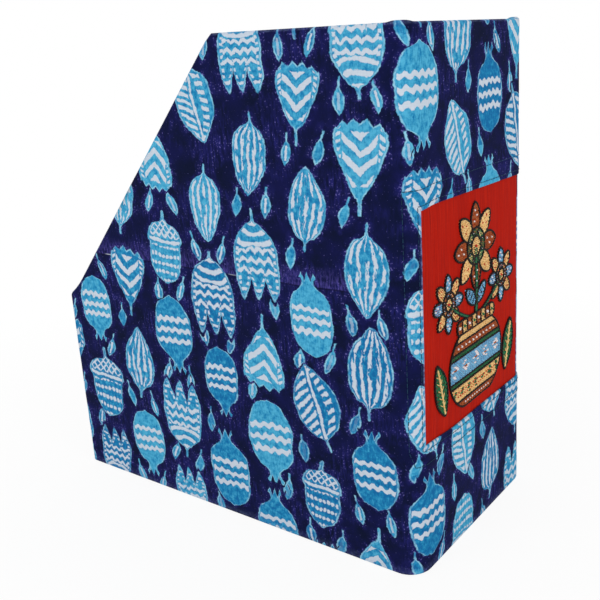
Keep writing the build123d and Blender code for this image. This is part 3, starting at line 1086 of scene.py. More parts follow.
def turnWindowEdge(columns, rows, corners, spot, points, plans, wear):
    # the window's edge turns under and runs back behind the cloth
    left, right, low, high = corners
    loop = [(i, low) for i in range(left, right)] + [(right, j) for j in range(low, high)]
    loop += [(i, high) for i in range(right, left, -1)] + [(left, j) for j in range(high, low, -1)]
    faces = []
    previous = [spot(i, j) for i, j in loop]
    for out, depth in printWrap["hemTurn"]:
        ring = []
        for i, j in loop:
            run, z = columns[i], rows[j]
            runOut = out * ((i == right) - (i == left))
            zOut = out * ((j == high) - (j == low))
            sunk = depth - clothRise(run, z) * fade(0.7 - depth, 0, 0.4)
            slip, slide = edgeSlip(run, z)
            x, y, _ = wallPlace(run + slip + runOut, sunk, sunk)
            ring.append(len(points))
            points.append(Vector((x, y, z + slide + zOut)))
            plans.append(clothPlan(run + slip - runOut, z + slide - zOut))
            wear.append(max(0.6, foldWear(run, z)))
        for k in range(len(loop)):
            n = (k + 1) % len(loop)
            faces.append((previous[k], previous[n], ring[n], ring[k]))
        previous = ring
    return faces


def makePrintWrap():
    rows, columns = clothLines()
    stations = clothStations(rows)
    points, plans, wear = [], [], []
    for run in columns:
        morePoints, morePlans, moreWear = drapeColumn(run, stations)
        points += morePoints
        plans += morePlans
        wear += moreWear
    tall = len(stations)
    firstRow = next(i for i, station in enumerate(stations) if station[0] == "face")
    left = min(range(len(columns)), key=lambda i: abs(columns[i] - nearLine))
    right = min(range(len(columns)), key=lambda i: abs(columns[i] - farLine))
    low, high = rows.index(lowLine), rows.index(highLine)
    faces = gridFaces(len(columns), tall, lambda i, j: left <= i < right and low <= j - firstRow < high)
    faces += turnWindowEdge(
        columns, rows, (left, right, low, high), lambda i, j: i * tall + firstRow + j, points, plans, wear
    )
    piece = meshPiece("printWrapCloth", points, faces, plans)
    print("printed cloth, flat square metres:", round(flatArea(piece), 4), "grid", len(columns), tall)
    setPointValue(piece, "edgeWear", wear)
    piece.data.materials.append(printMaterial)
    thicken(piece, printWrap["ply"])
    return piece


printWrapCloth = makePrintWrap()
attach(printWrapCloth, "root")
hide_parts("print_wrap_cloth")
print("printed cloth made")

# Materials of the other cloths, boards and threads

redCotton = {
    "red": (178, 26, 12),
    "redDark": (159, 22, 11),
    "redLight": (192, 37, 18),
    "strand": (96, 14, 16),
    "weavePitch": 0.5,
    "slubLength": 0.03,  # the smaller, the longer the thick places
    "strandLength": 0.012,
}


def makeRedSlub():
    material, tree, shader = newMaterial("redSlubCotton", 0.85, 0.0, 0.06)
    plan = inMillimetres(tree, uvPlace(tree, "clothPlan"))
    weave = useGroup(tree, weaveGroup, Vector=plan, Pitch=redCotton["weavePitch"])
    slub = noiseOn(tree, scaled(tree, plan, 1.0, redCotton["slubLength"]), 0.8, 3.0, 0.6)
    dyes = {label: paint(*redCotton[label]) for label in ("red", "redDark", "redLight", "strand")}
    colour = blendColour(tree, ramp(tree, slub, 0.5, 0.3), dyes["red"], dyes["redDark"])
    colour = blendColour(tree, ramp(tree, slub, 0.52, 0.72), colour, dyes["redLight"])
    strand = noiseOn(tree, scaled(tree, plan, 1.0, redCotton["strandLength"]), 1.6, 1.0)
    strand = calc(tree, "MULTIPLY", ramp(tree, strand, 0.68, 0.73), 0.7)
    colour = blendColour(tree, strand, colour, dyes["strand"])
    feedToned(tree, shader.inputs["Base Color"], colour, weave["Shade"], 0.88, 1.1)
    feed(tree, shader.inputs["Roughness"], ramp(tree, slub, 0.3, 0.7, 0.78, 0.92))
    addBump(tree, shader, calc(tree, "ADD", weave["Height"], calc(tree, "MULTIPLY", slub, 3.0)), 0.5, 0.14)
    return material


def makePlainCotton(name, dark, light, pitch):
    material, tree, shader = newMaterial(name, 0.88, 0.1)
    plan = inMillimetres(tree, uvPlace(tree, "clothPlan"))
    weave = useGroup(tree, weaveGroup, Vector=plan, Pitch=pitch)
    cloud = noiseOn(tree, plan, 0.05, 3.0)
    share = calc(tree, "MULTIPLY_ADD", cloud, 0.6, calc(tree, "MULTIPLY", weave["Shade"], 0.5))
    colour = blendColour(tree, ramp(tree, share, 0.35, 0.75), paint(*dark), paint(*light))
    feed(tree, shader.inputs["Base Color"], colour)
    feed(tree, shader.inputs["Roughness"], ramp(tree, weave["Shade"], 0.3, 0.7, 0.8, 0.95))
    addBump(tree, shader, weave["Height"], 0.45, 0.12)
    return material


def makePressedSheet(name, dark, light, fleck, bump):
    material, tree, shader = newMaterial(name, 0.92)
    fibres = useGroup(tree, fibreGroup, Vector=inMillimetres(tree, objectPlace(tree)))
    colour = blendColour(tree, ramp(tree, fibres["Height"], 0.35, 0.65), paint(*dark), paint(*light))
    colour = blendColour(tree, calc(tree, "MULTIPLY", fibres["Fleck"], 0.5), colour, paint(*fleck))
    feed(tree, shader.inputs["Base Color"], colour)
    feed(tree, shader.inputs["Roughness"], ramp(tree, fibres["Height"], 0.3, 0.7, 0.86, 0.97))
    addBump(tree, shader, fibres["Height"], 0.5, bump)
    return material


threadLook = {"roughness": 0.6, "hollowRoughness": 0.75, "specular": 0.2, "turns": 1.3}


def makeThread(name, dark, light):
    material, tree, shader = newMaterial(name, threadLook["roughness"], 0.0, threadLook["specular"])
    twist = useGroup(tree, twistGroup, Vector=uvPlace(tree, "threadRun"), Turns=threadLook["turns"])
    patch = noiseOn(tree, inMillimetres(tree, objectPlace(tree)), 0.4)
    patch = calc(tree, "MULTIPLY_ADD", patch, 1.6, -0.5)
    # colour from dark to light: each strand's crest lighter and the grooves between strands darker, which is
    # painted shade, over patches of uneven dye
    share = calc(tree, "ADD", calc(tree, "MULTIPLY", twist["Height"], 0.4), patch)
    colour = blendColour(tree, ramp(tree, share, 0.1, 0.9), paint(*dark), paint(*light))
    feed(tree, shader.inputs["Base Color"], colour)
    rough = ramp(tree, twist["Shade"], 0.0, 0.6, threadLook["hollowRoughness"], threadLook["roughness"])
    feed(tree, shader.inputs["Roughness"], rough)
    addBump(tree, shader, twist["Height"], 0.6, 0.12)
    return material


redSlub = makeRedSlub()
liningCotton = makePlainCotton("liningCotton", (20, 18, 50), (34, 31, 76), 0.45)
undersideCotton = makePlainCotton("undersideCotton", (17, 16, 40), (28, 27, 62), 0.5)
backingCotton = makePlainCotton("backingCotton", (196, 186, 166), (222, 214, 196), 0.35)
millboard = makePressedSheet("millboard", (128, 116, 98), (158, 146, 124), (88, 78, 66), 0.12)
liningBoard = makePressedSheet("liningBoard", (176, 170, 158), (204, 199, 188), (140, 130, 116), 0.06)
gummedLinen = makePressedSheet("gummedLinen", (186, 170, 138), (214, 200, 168), (150, 132, 100), 0.09)
# each thread runs from a darker to a lighter colour; the darker end is partly painted shade in the grooves
# between strands, here and for the sewing thread below
threadColours = {
    "rust": makeThread("rustThread", (126, 56, 24), (186, 98, 50)),
    "cream": makeThread("creamThread", (226, 172, 98), (252, 220, 156)),
    "green": makeThread("greenThread", (14, 74, 44), (38, 122, 78)),
    "blue": makeThread("blueThread", (78, 148, 196), (140, 200, 230)),
    "white": makeThread("whiteThread", (228, 216, 218), (252, 246, 244)),
    "red": makeThread("redThread", (168, 28, 18), (214, 56, 34)),
    "black": makeThread("blackThread", (8, 5, 6), (26, 18, 18)),
}
sewingThread = makeThread("sewingThread", (11, 34, 54), (27, 68, 94))

# Red panel and its backing, behind the window

panel = {
    "face": 1.22,  # depth of the red cloth's face
    "ply": 0.5,
    "backing": 1.96,
    "backingPly": 0.22,
    "near": 64.5,
    "far": 71.0,
    "reachTall": 8.0,
    "columns": 66,
    "rows": 40,
    "swell": 0.3,
    "ripple": 0.25,
    "ridge": 0.3,
    # a ridge and a hollow run up beside the window's near edge: place, breadth, height
    "ridges": [(-50.0, 2.4, 1.0), (-45.5, 2.2, -0.7)],
}


def panelDepth(run, z):
    # depth of the red cloth's face, which swells a little inside the window
    across, up = run - spineMiddle, z - panelMiddle[1]
    inside = fade(min(run - nearLine, farLine - run), 0, 12) * fade(min(z - lowLine, highLine - z), 0, 12)
    ridge = sum(height * bell(across - place, breadth) for place, breadth, height in panel["ridges"])
    ripple = panel["ripple"] * wave(across, up * 0.25, 9, 2.0)
    return panel["face"] - inside * (panel["swell"] + ripple + panel["ridge"] * ridge)


def makePanelSheet(name, depthAt, ply, material, node):
    columns, rows = panel["columns"], panel["rows"]
    low, high = window["low"] - panel["reachTall"], window["high"] + panel["reachTall"]
    points, plans = [], []
    for i in range(columns + 1):
        across = mix(-panel["near"], panel["far"], i / columns)
        for j in range(rows + 1):
            z = mix(low, high, j / rows)
            depth = depthAt(spineMiddle + across, z)
            x, y, _ = wallPlace(spineMiddle + across, depth, depth)
            points.append(Vector((x, y, z)))
            plans.append(((across + 100) * mm, (z + 20) * mm))
    piece = meshPiece(name, points, gridFaces(columns + 1, rows + 1), plans)
    piece.data.materials.append(material)
    thicken(piece, ply)
    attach(piece, "root")
    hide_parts(node)
    return piece


spinePanel = makePanelSheet(
    "spinePanelCloth", lambda run, z: panelDepth(run, z) + panel["ply"] / 2, panel["ply"],
    redSlub, "spine_panel_cloth",
)
panelBacking = makePanelSheet(
    "panelBacking", lambda run, z: panel["backing"], panel["backingPly"],
    backingCotton, "panel_backing",
)
print("panel made")

# Stitches

stitchShape = {
    "sides": 6,
    # place along the stitch, breadth, and rise in half thicknesses
    "rings": [(-0.5, 0.5, -0.9), (-0.36, 0.92, 0.35), (0.0, 1.0, 0.75), (0.36, 0.92, 0.35), (0.5, 0.5, -0.9)],
}


def onWall(run, z, depth):
    x, y, _ = wallPlace(run, depth, depth)
    return Vector((x, y, z))


def makeOneStitch():
    # one stitch along X, one long and one thick, whose ends turn down into the cloth
    rings = stitchShape["rings"]
    deselect()
    bpy.ops.mesh.primitive_cylinder_add(
        vertices=stitchShape["sides"], radius=0.5, depth=1, rotation=(0, math.pi / 2, 0)
    )
    stitch = bpy.context.active_object
    stitch.name = "oneStitch"
    bpy.ops.object.transform_apply(location=False, rotation=True, scale=False)
    bpy.ops.object.mode_set(mode="EDIT")
    shape = bmesh.from_edit_mesh(stitch.data)
    for edge in shape.edges:
        edge.select_set(abs(edge.verts[0].co.x - edge.verts[1].co.x) > 0.5)
    bpy.ops.mesh.subdivide(number_cuts=len(rings) - 2)
    shape = bmesh.from_edit_mesh(stitch.data)
    levels = [round(i / (len(rings) - 1) - 0.5, 3) for i in range(len(rings))]
    loops = [[vertex for vertex in shape.verts if abs(vertex.co.x - level) < 0.01] for level in levels]
    bpy.ops.mesh.select_mode(type="VERT")
    for loop, level, (place, breadth, rise) in zip(loops, levels, rings):
        bpy.ops.mesh.select_all(action="DESELECT")
        for vertex in loop:
            vertex.select_set(True)
        bpy.ops.transform.resize(value=(1, breadth, breadth), center_override=(level, 0, 0))
        bpy.ops.transform.translate(value=(place - level, 0, rise / 2))
    bpy.ops.object.mode_set(mode="OBJECT")
    return stitch


def copyShape(stitch):
    # the stitch's points, faces, and how far along and round it each corner lies
    shape = stitch.data
    points = [tuple(vertex.co) for vertex in shape.vertices]
    faces = [tuple(face.vertices) for face in shape.polygons]
    spots = [spot.uv for spot in shape.uv_layers.active.data]
    corners = [
        (min(max(2 * spots[i].y - 1, 0), 1), spots[i].x) for face in shape.polygons for i in face.loop_indices
    ]
    bpy.data.objects.remove(stitch)
    return points, faces, corners


stitchPoints, stitchFaces, stitchCorners = copyShape(makeOneStitch())


def stitchMesh(name, stitches, material, depthAt):
    # copies of the one stitch, each between its own two holes; a stitch is start, end, lift and thickness
    points, faces, places = [], [], []
    for number, (start, end, lift, thick) in enumerate(stitches):
        first = len(points)
        long = math.dist(start, end)
        frames = {}
        for along, across, up in stitchPoints:
            share = round(along + 0.5, 3)
            if share not in frames:
                run = spineMiddle + mix(start[0], end[0], share)
                z = mix(start[1], end[1], share)
                depth = depthAt(run, z) - lift
                centre = onWall(run, z, depth)
                outward = (onWall(run, z, depth - 1) - centre).normalized()
                ahead = onWall(run + (end[0] - start[0]) * 0.01, z + (end[1] - start[1]) * 0.01, depth)
                frames[share] = centre, outward.cross((ahead - centre).normalized()), outward
            centre, sideways, outward = frames[share]
            points.append(centre + (sideways * across + outward * up) * thick)
        faces += [tuple(first + i for i in face) for face in stitchFaces]
        offset = number * 0.37 % 1
        places += [(along * long + offset, turn) for along, turn in stitchCorners]
    mesh = bpy.data.meshes.new(name)
    mesh.from_pydata([tuple(c * mm for c in p) for p in points], [], faces)
    layer = mesh.uv_layers.new(name="threadRun")
    layer.data.foreach_set("uv", [c for place in places for c in place])
    mesh.materials.append(material)
    mesh.shade_smooth()
    piece = bpy.data.objects.new(name, mesh)
    bpy.context.scene.collection.objects.link(piece)
    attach(piece, "root")
    return piece


topstitch = {
    "length": 3.0,
    "pitch": 3.3,
    "thick": 0.38,
    "sink": 0.04,
    "cut": (3.2, 9.0),  # the outer row cuts its low near corner
}


def rowOfStitches(corners):
    # running stitches along straight runs between corners
    stitches = []
    share = topstitch["length"] / topstitch["pitch"]
    for a, b in zip(corners, corners[1:]):
        count = max(1, round(math.dist(a, b) / topstitch["pitch"]))
        for i in range(count):
            start, end = (i + 0.1) / count, min((i + 0.1 + share) / count, 1)
            holes = []
            for place in (start, end):
                across, z = mix(a[0], b[0], place), mix(a[1], b[1], place)
                slip, slide = edgeSlip(spineMiddle + across, z)
                holes.append((across + slip, z + slide))
            stitches.append((*holes, 0.0, topstitch["thick"]))
    return stitches


def makeTopstitch():
    def depthAt(run, z):
        return topstitch["sink"] - clothRise(run, z)

    made = []
    rows = [("edgeStitchRow", window["edgeRow"], 0.3), ("outerStitchRow", window["outerRow"], 0.9)]
    for label, out, skew in rows:
        near, far = nearLine - spineMiddle - out, farLine - spineMiddle + out
        low, high = lowLine - out, highLine + out
        lowNear = (near, low - skew)
        corners = [lowNear, (far, low), (far, high + skew), (near - skew * 0.5, high), lowNear]
        if label == "outerStitchRow":
            cutRight, cutUp = topstitch["cut"]
            corners[0] = (near + cutRight, low)
            corners[4:] = [(near, low + cutUp), corners[0]]
        made.append(stitchMesh(label, rowOfStitches(corners), sewingThread, depthAt))
    return made


stitchRows = makeTopstitch()
print("topstitching made")

# Embroidery: a pot of flowers in filled rows with dark outlines

embroidery = {
    "pitch": 1.12,
    "stitch": 2.9,
    "shortest": 0.9,
    "sway": 0.12,
    "thick": 1.0,
    "outlineThick": 1.2,
    "outlineStitch": 2.8,
    "outlineStep": 0.72,  # how far a stem stitch starts after the one before, by its length
    "outlineSkew": 0.16,
    "outlineLift": 0.3,
    "topBorder": 7.0,
    "sideBorder": 10.0,
    "potFoot": 34.0,
    "potBelly": 66.0,
    "potBellyAt": 0.6,
    "potTop": 40.0,
    "potHeight": 45.0,
    # colours up the pot, each with the height where it ends
    "bands": [
        ("rust", 5.0), ("cream", 15.0), ("green", 18.0), ("blue", 31.5), ("green", 34.5), ("rust", 40.5),
        ("cream", 46.0),
    ],
    "ringPitch": 13.0,
    "leafletPitch": 9.0,
    "leaflets": (7.0, 13.4),  # from where to where they reach up the cream band
    "lipWide": 47.0,
    "lipTall": 8.0,
    "lipBlocks": 8,
    "stemWide": 3.0,
    "stemLean": 1.0,
    "sideStemStart": 9.5,
    "sideStemBow": 0.72,
    "flower": 26.0,
    "sideFlower": 17.5,
    "sideFlowerRise": 22.0,
    "eye": 0.42,
    "heart": 0.55,  # share of the eye
    "petals": 8,
    "petalBreadth": 0.44,
    "petalSeeds": [(0.56, 0.06), (0.68, -0.07), (0.8, 0.03)],  # out and aside, by the flower's radius
    "seedLift": 0.42,
    "leaf": (34.0, 14.0, 76.0),  # length, width, turn
    "leafStart": (39.0, 3.0),
    "topLeaf": (17.0, 8.0, 42.0),
    "topLeafRise": 5.0,
}
needle = random.Random(4)
threadWork = {colour: [] for colour in threadColours}


def arcThrough(a, b, c, steps):
    # points on the arc from a through b to c
    ax, ay, bx, by, cx, cy = *a, *b, *c
    d = 2 * (ax * (by - cy) + bx * (cy - ay) + cx * (ay - by))
    ux = ((ax**2 + ay**2) * (by - cy) + (bx**2 + by**2) * (cy - ay) + (cx**2 + cy**2) * (ay - by)) / d
    uy = ((ax**2 + ay**2) * (cx - bx) + (bx**2 + by**2) * (ax - cx) + (cx**2 + cy**2) * (bx - ax)) / d
    radius = math.hypot(ax - ux, ay - uy)
    start, middle, end = (math.atan2(y - uy, x - ux) for x, y in (a, b, c))
    turn = (end - start) % (2 * math.pi)
    if (middle - start) % (2 * math.pi) > turn:
        turn -= 2 * math.pi
    angles = [start + turn * i / steps for i in range(steps + 1)]
    return [(ux + radius * math.cos(angle), uy + radius * math.sin(angle)) for angle in angles]


def fromPlace(place, turn, distance, aside=0.0):
    # a place so far from another in a direction, and so far to its left
    angle = math.radians(turn)
    cos, sin = math.cos(angle), math.sin(angle)
    return (place[0] + distance * cos - aside * sin, place[1] + distance * sin + aside * cos)


def leafOutline(length, breadth, place, turn):
    upper = arcThrough((0, 0), (length / 2, breadth / 2), (length, 0), 10)
    lower = arcThrough((length, 0), (length / 2, -breadth / 2), (0, 0), 10)
    return [fromPlace(place, turn, x, y) for x, y in upper + lower[1:-1]]


def circleOutline(centre, radius, steps=20):
    return [fromPlace(centre, 360 * i / steps, radius) for i in range(steps)]


def crossings(outline, level):
    # where a level line runs in and out of an outline
    found = []
    for (ax, ay), (bx, by) in zip(outline, outline[1:] + outline[:1]):
        if (ay > level) != (by > level):
            found.append(ax + (bx - ax) * (level - ay) / (by - ay))
    found.sort()
    return list(zip(found[::2], found[1::2]))


def lay(colour, start, end, lift, thick):
    # one stitch, its ends measured from the panel's middle
    holes = [(panelMiddle[0] + x, panelMiddle[1] + y) for x, y in (start, end)]
    threadWork[colour].append((*holes, lift, thick))


def fillShape(outline, turn, colourAt, lift):
    # rows of short stitches inside an outline, each coloured by where its middle lies
    flat = [fromPlace((0, 0), -turn, x, y) for x, y in outline]
    low, high = min(p[1] for p in flat), max(p[1] for p in flat)
    rows = max(1, int((high - low) / embroidery["pitch"]))
    shortest, mostSway = embroidery["shortest"], embroidery["sway"]
    for r in range(rows):
        level = low + (high - low) * (r + 0.5) / rows
        for start, end in crossings(flat, level):
            if end - start < shortest:
                continue
            cut = start
            span = embroidery["stitch"] * (0.5 if r % 2 else 1.0)
            while cut < end - 0.3:
                stop = min(cut + span * needle.uniform(0.88, 1.12), end)
                if end - stop < shortest:
                    stop = end
                sway = needle.uniform(-mostSway, mostSway)
                a = fromPlace((0, 0), turn, cut, level + sway)
                b = fromPlace((0, 0), turn, stop, level - sway)
                colour = colourAt((a[0] + b[0]) / 2, (a[1] + b[1]) / 2)
                lay(colour, a, b, lift, embroidery["thick"] * needle.uniform(0.92, 1.05))
                cut = stop
                span = embroidery["stitch"]


def stitchLine(line, colour, lift, closed=False):
    # stem stitches that overlap along a line, each a little askew
    line = line + line[:1] if closed else line
    steps = [0.0]
    for a, b in zip(line, line[1:]):
        steps.append(steps[-1] + math.dist(a, b))

    def at(distance):
        distance = min(distance, steps[-1])
        k = min(max(i for i, s in enumerate(steps) if s <= distance), len(line) - 2)
        share = (distance - steps[k]) / max(steps[k + 1] - steps[k], 1e-9)
        return (mix(line[k][0], line[k + 1][0], share), mix(line[k][1], line[k + 1][1], share))

    place = 0.0
    while place < steps[-1] - 0.4:
        a, b = at(place), at(place + embroidery["outlineStitch"])
        if math.dist(a, b) > 0.5:
            lean = math.degrees(math.atan2(b[1] - a[1], b[0] - a[0]))
            thick = embroidery["outlineThick"] * needle.uniform(0.9, 1.1)
            skew = embroidery["outlineSkew"]
            lay(colour, fromPlace(a, lean, 0, skew), fromPlace(b, lean, 0, -skew), lift, thick)
        place += embroidery["outlineStitch"] * embroidery["outlineStep"]


def outlined(outline, turn, colourAt, lift=0.0):
    fillShape(outline, turn, colourAt, lift)
    stitchLine(outline, "black", lift + embroidery["outlineLift"], closed=True)


def shortStitch(colour, middle, turn, half, lift, thick):
    lay(colour, fromPlace(middle, turn, -half), fromPlace(middle, turn, half), lift, thick)


def knot(place, colour, lift, size):
    # a small knot: two short stitches that cross
    for turn in (needle.uniform(0, 90), needle.uniform(90, 180)):
        shortStitch(colour, place, turn, size / 2, lift, size * 0.72)


def seeds(outline, colour, gap):
    # scattered seed stitches on a filled shape
    level = min(p[1] for p in outline) + gap
    high = max(p[1] for p in outline)
    row = 0
    while level < high - gap * 0.6:
        for start, end in crossings(outline, level):
            place = start + gap * (0.7 if row % 2 else 1.15)
            while place < end - gap * 0.6:
                turn = needle.uniform(-35, 35)
                shortStitch(colour, (place, level), turn, 0.75, embroidery["seedLift"], 0.72)
                place += gap * needle.uniform(0.85, 1.15)
        level += gap * 0.85
        row += 1


def stitchFlower(centre, radius, petalColours, seedColours, eyeColours):
    work = embroidery
    eye = radius * work["eye"]
    for i in range(work["petals"]):
        turn = 360 * i / work["petals"]
        colour = petalColours[i % 2]
        length, breadth = radius - eye / 2, work["petalBreadth"] * radius
        petal = leafOutline(length, breadth, fromPlace(centre, turn, eye / 2), turn)
        outlined(petal, turn, lambda x, y, c=colour: c)
        for away, aside in work["petalSeeds"]:
            place = fromPlace(centre, turn, away * radius, aside * radius)
            if i % 2 == 0:
                knot(place, seedColours[0], 0.45, 1.3)
            else:
                shortStitch(seedColours[1], place, turn, 0.9, work["seedLift"], 0.65)
    heart = eye * work["heart"]
    outlined(circleOutline(centre, eye), 0, lambda x, y: eyeColours[math.dist((x, y), centre) <= heart], 0.2)
    stitchLine(circleOutline(centre, heart, 14), "black", 0.5, closed=True)
    for i in range(8):
        knot(fromPlace(centre, 45 * i + 22, eye * 0.78), "white", 0.6, 1.0)
    knot(centre, "red", 0.65, 1.8)


def stitchLeaf(place, length, width, turn):
    outlined(leafOutline(length, width, place, turn), turn, lambda x, y: "green")
    stitchLine([fromPlace(place, turn, share * length) for share in (0.04, 0.3, 0.6, 0.92)], "cream", 0.45)
    for share in (0.2, 0.34, 0.48, 0.62, 0.76):
        reach = 0.3 * width * math.sin(math.pi * (share + 0.06))
        for lean in (-1, 1):
            start = fromPlace(place, turn, share * length, lean * 0.4)
            lay("cream", start, fromPlace(start, turn + lean * 43, reach), embroidery["seedLift"], 0.6)


def stitchPot(foot, top):
    work = embroidery
    belly = (work["potBelly"] / 2, foot + work["potHeight"] * work["potBellyAt"])
    rightSide = arcThrough((work["potFoot"] / 2, foot), belly, (work["potTop"] / 2, top), 20)
    pot = rightSide + [(-x, y) for x, y in reversed(rightSide)]
    bands = work["bands"]
    ringMiddle = (bands[2][1] + bands[3][1]) / 2
    ringPitch, leafletPitch = work["ringPitch"], work["leafletPitch"]
    leafletLow, leafletHigh = work["leaflets"]

    def potColour(x, y):
        height = y - foot
        colour = next(c for c, reach in bands if height < reach)
        if colour == "blue":
            # white rings with a rust heart along the blue band
            away = abs((x + ringPitch / 2) % ringPitch - ringPitch / 2) + abs(height - ringMiddle)
            colour = "white" if 2.6 < away < 4.4 else "rust" if away <= 1.5 else "blue"
        elif colour == "cream" and leafletLow < height < leafletHigh:
            # green leaflets on the lower cream band
            half = 1.4 * math.sin((height - leafletLow) / (leafletHigh - leafletLow) * math.pi) + 0.2
            away = abs((x + leafletPitch / 2) % leafletPitch - leafletPitch / 2)
            colour = "green" if away < half else "cream"
        return colour

    outlined(pot, 0, potColour)
    for _, reach in bands[:-1]:
        start, end = crossings(pot, foot + reach)[0]
        stitchLine([(start, foot + reach), (end, foot + reach)], "black", 0.34)
    seeds([(-26, foot + 5.5), (26, foot + 5.5), (29, foot + 14.5), (-29, foot + 14.5)], "red", 3.0)
    for i in range(11):
        knot((-22.5 + 4.5 * i, foot + 37.5), "white", 0.45, 1.5)
        knot((-15 + 3 * i, foot + 2.6), "white", 0.45, 1.2)

    # lip: blocks of two colours
    half, cut = work["lipWide"] / 2, 1.5
    mouth = top + work["lipTall"]
    corners = [(half - cut, top), (half, top + cut), (half, mouth - cut), (half - cut, mouth)]
    lip = corners + [(-x, y) for x, y in reversed(corners)]
    count = work["lipBlocks"]
    block = work["lipWide"] / count
    outlined(lip, 0, lambda x, y: "cream" if int((x + half) / block) % 2 else "rust", 0.1)
    for i in range(1, count):
        stitchLine([(i * block - half, top + 0.4), (i * block - half, mouth - 0.4)], "black", 0.42)
    for i in range(count):
        knot(((i + 0.5) * block - half, (top + mouth) / 2), "green" if i % 2 else "white", 0.5, 1.9)


def makeEmbroidery():
    work = embroidery
    panelTop = (window["high"] - window["low"]) / 2 - work["topBorder"]
    panelSide = (window["near"] + window["far"]) / 2 - work["sideBorder"]
    foot = -panelTop
    top = foot + work["potHeight"]
    mouth = top + work["lipTall"]
    flowerAt = (0.0, panelTop - work["flower"])
    sideAt = (panelSide - work["sideFlower"], top + work["sideFlowerRise"])

    # stems first, so the flowers sit over their ends
    stems = [arcThrough((0, mouth), (work["stemLean"], (mouth + flowerAt[1]) / 2), flowerAt, 10)]
    stemMiddle = (sideAt[0] * work["sideStemBow"], (mouth + sideAt[1]) / 2)
    for hand in (-1, 1):
        start, through, end = ((hand * x, y) for x, y in ((work["sideStemStart"], mouth), stemMiddle, sideAt))
        stems.append(arcThrough(start, through, end, 12))
    for stem in stems:
        for shift in (-0.5, 0.5, -0.17, 0.17):
            line = [(x + shift * work["stemWide"], y) for x, y in stem]
            stitchLine(line, "black" if abs(shift) > 0.4 else "green", 0.08)

    length, width, turn = work["leaf"]
    topLength, topWidth, topTurn = work["topLeaf"]
    leafX, leafY = work["leafStart"]
    for hand in (-1, 1):
        stitchLeaf((hand * leafX, foot + leafY), length, width, 90 - hand * (90 - turn))
        small = (0.0, mouth + work["topLeafRise"])
        smallTurn = 90 - hand * (90 - topTurn)
        outlined(leafOutline(topLength, topWidth, small, smallTurn), smallTurn, lambda x, y: "blue")
        for share in (0.3, 0.5, 0.7):
            half = 0.42 * topWidth * math.sin(math.pi * share)
            middle = fromPlace(small, smallTurn, share * topLength)
            start, end = fromPlace(middle, smallTurn, 0, -half), fromPlace(middle, smallTurn, 0, half)
            lay("black", start, end, work["seedLift"], 0.75)
    stitchPot(foot, top)
    stitchFlower(flowerAt, work["flower"], ("rust", "cream"), ("white", "red"), ("green", "cream"))
    for hand in (-1, 1):
        centre = (hand * sideAt[0], sideAt[1])
        stitchFlower(centre, work["sideFlower"], ("blue", "cream"), ("white", "red"), ("rust", "cream"))

    pieces = []
    for colour, stitches in threadWork.items():
        pieces.append(stitchMesh(colour + "Stitching", stitches, threadColours[colour], panelDepth))
        print("stitches,", colour, len(stitches))
    return pieces


stitchedPieces = makeEmbroidery()
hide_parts("panel_embroidery")
print("embroidery made")

# Linings

lining = {
    "face": 6.65,  # depth of the face, and of the part that is turned down behind the card
    "back": 4.95,
    "drop": 5.25,  # from the rim down to the folded top
    "level": 4.78,
    "ply": 0.4,
    "backRows": [3.5, 6.5, 10.0],
    "split": 101.8,  # where the side linings meet the spine lining's returns
    "sideStart": -134.9,
    "sideGap": 0.2,
    "returnGap": 0.1,
    "frontHalf": 63.6,
    "spineExtra": 1.6,
    "slack": 0.16,
    "rows": 22,
    "columns": {"left": 56, "right": 56, "front": 30, "spine": 60},
    "planOffset": 10.0,
    "turnPlan": {"fold": 1.0, "back": 3.0},  # added to the flat cloth's height past the face
}


def liningPlace(wall, share, inset):
    # a point so far along a wall's lining: x, y, and 0 on the front wall or 1 on the others
    if wall in ("left", "right"):
        hand = 1 if wall == "right" else -1
        end = lining["split"] - lining["sideGap"]
        return hand * (halfWidth - inset), mix(lining["sideStart"], end, share), 1.0
    if wall == "front":
        return mix(-lining["frontHalf"], lining["frontHalf"], share), frontFace + inset, 0.0
    # the spine's lining has a return, a corner and half of the spine, twice
    spine = inset + lining["spineExtra"]
    radius = holder["spineRadius"] - inset
    sx, sy = halfWidth - holder["spineRadius"], spineFace - spine - radius
    straight = sy - lining["split"] - lining["returnGap"]
    bend = radius * math.pi / 2
    away = share * 2 * (straight + bend + sx)
    hand = 1
    if away > straight + bend + sx:
        away = 2 * (straight + bend + sx) - away
        hand = -1
    if away < straight:
        return hand * (halfWidth - inset), sy - straight + away, 1.0
    if away < straight + bend:
        angle = (away - straight) / radius
        return hand * (sx + radius * math.cos(angle)), sy + radius * math.sin(angle), 1.0
    return hand * (sx - (away - straight - bend)), spineFace - spine, 1.0


def liningStations(half):
    # the cloth's course up the face, over the card's top and down its back
    face, back, drop = lining["face"], lining["back"], lining["drop"]
    stations = [("face", face, i / lining["rows"]) for i in range(lining["rows"] + 1)]
    for k in range(1, 7):
        a = math.pi * k / 6
        stations.append(("fold", face - half + half * math.cos(a), drop + half * (1 - math.sin(a))))
    return stations + [("back", back, drop + down) for down in lining["backRows"]]


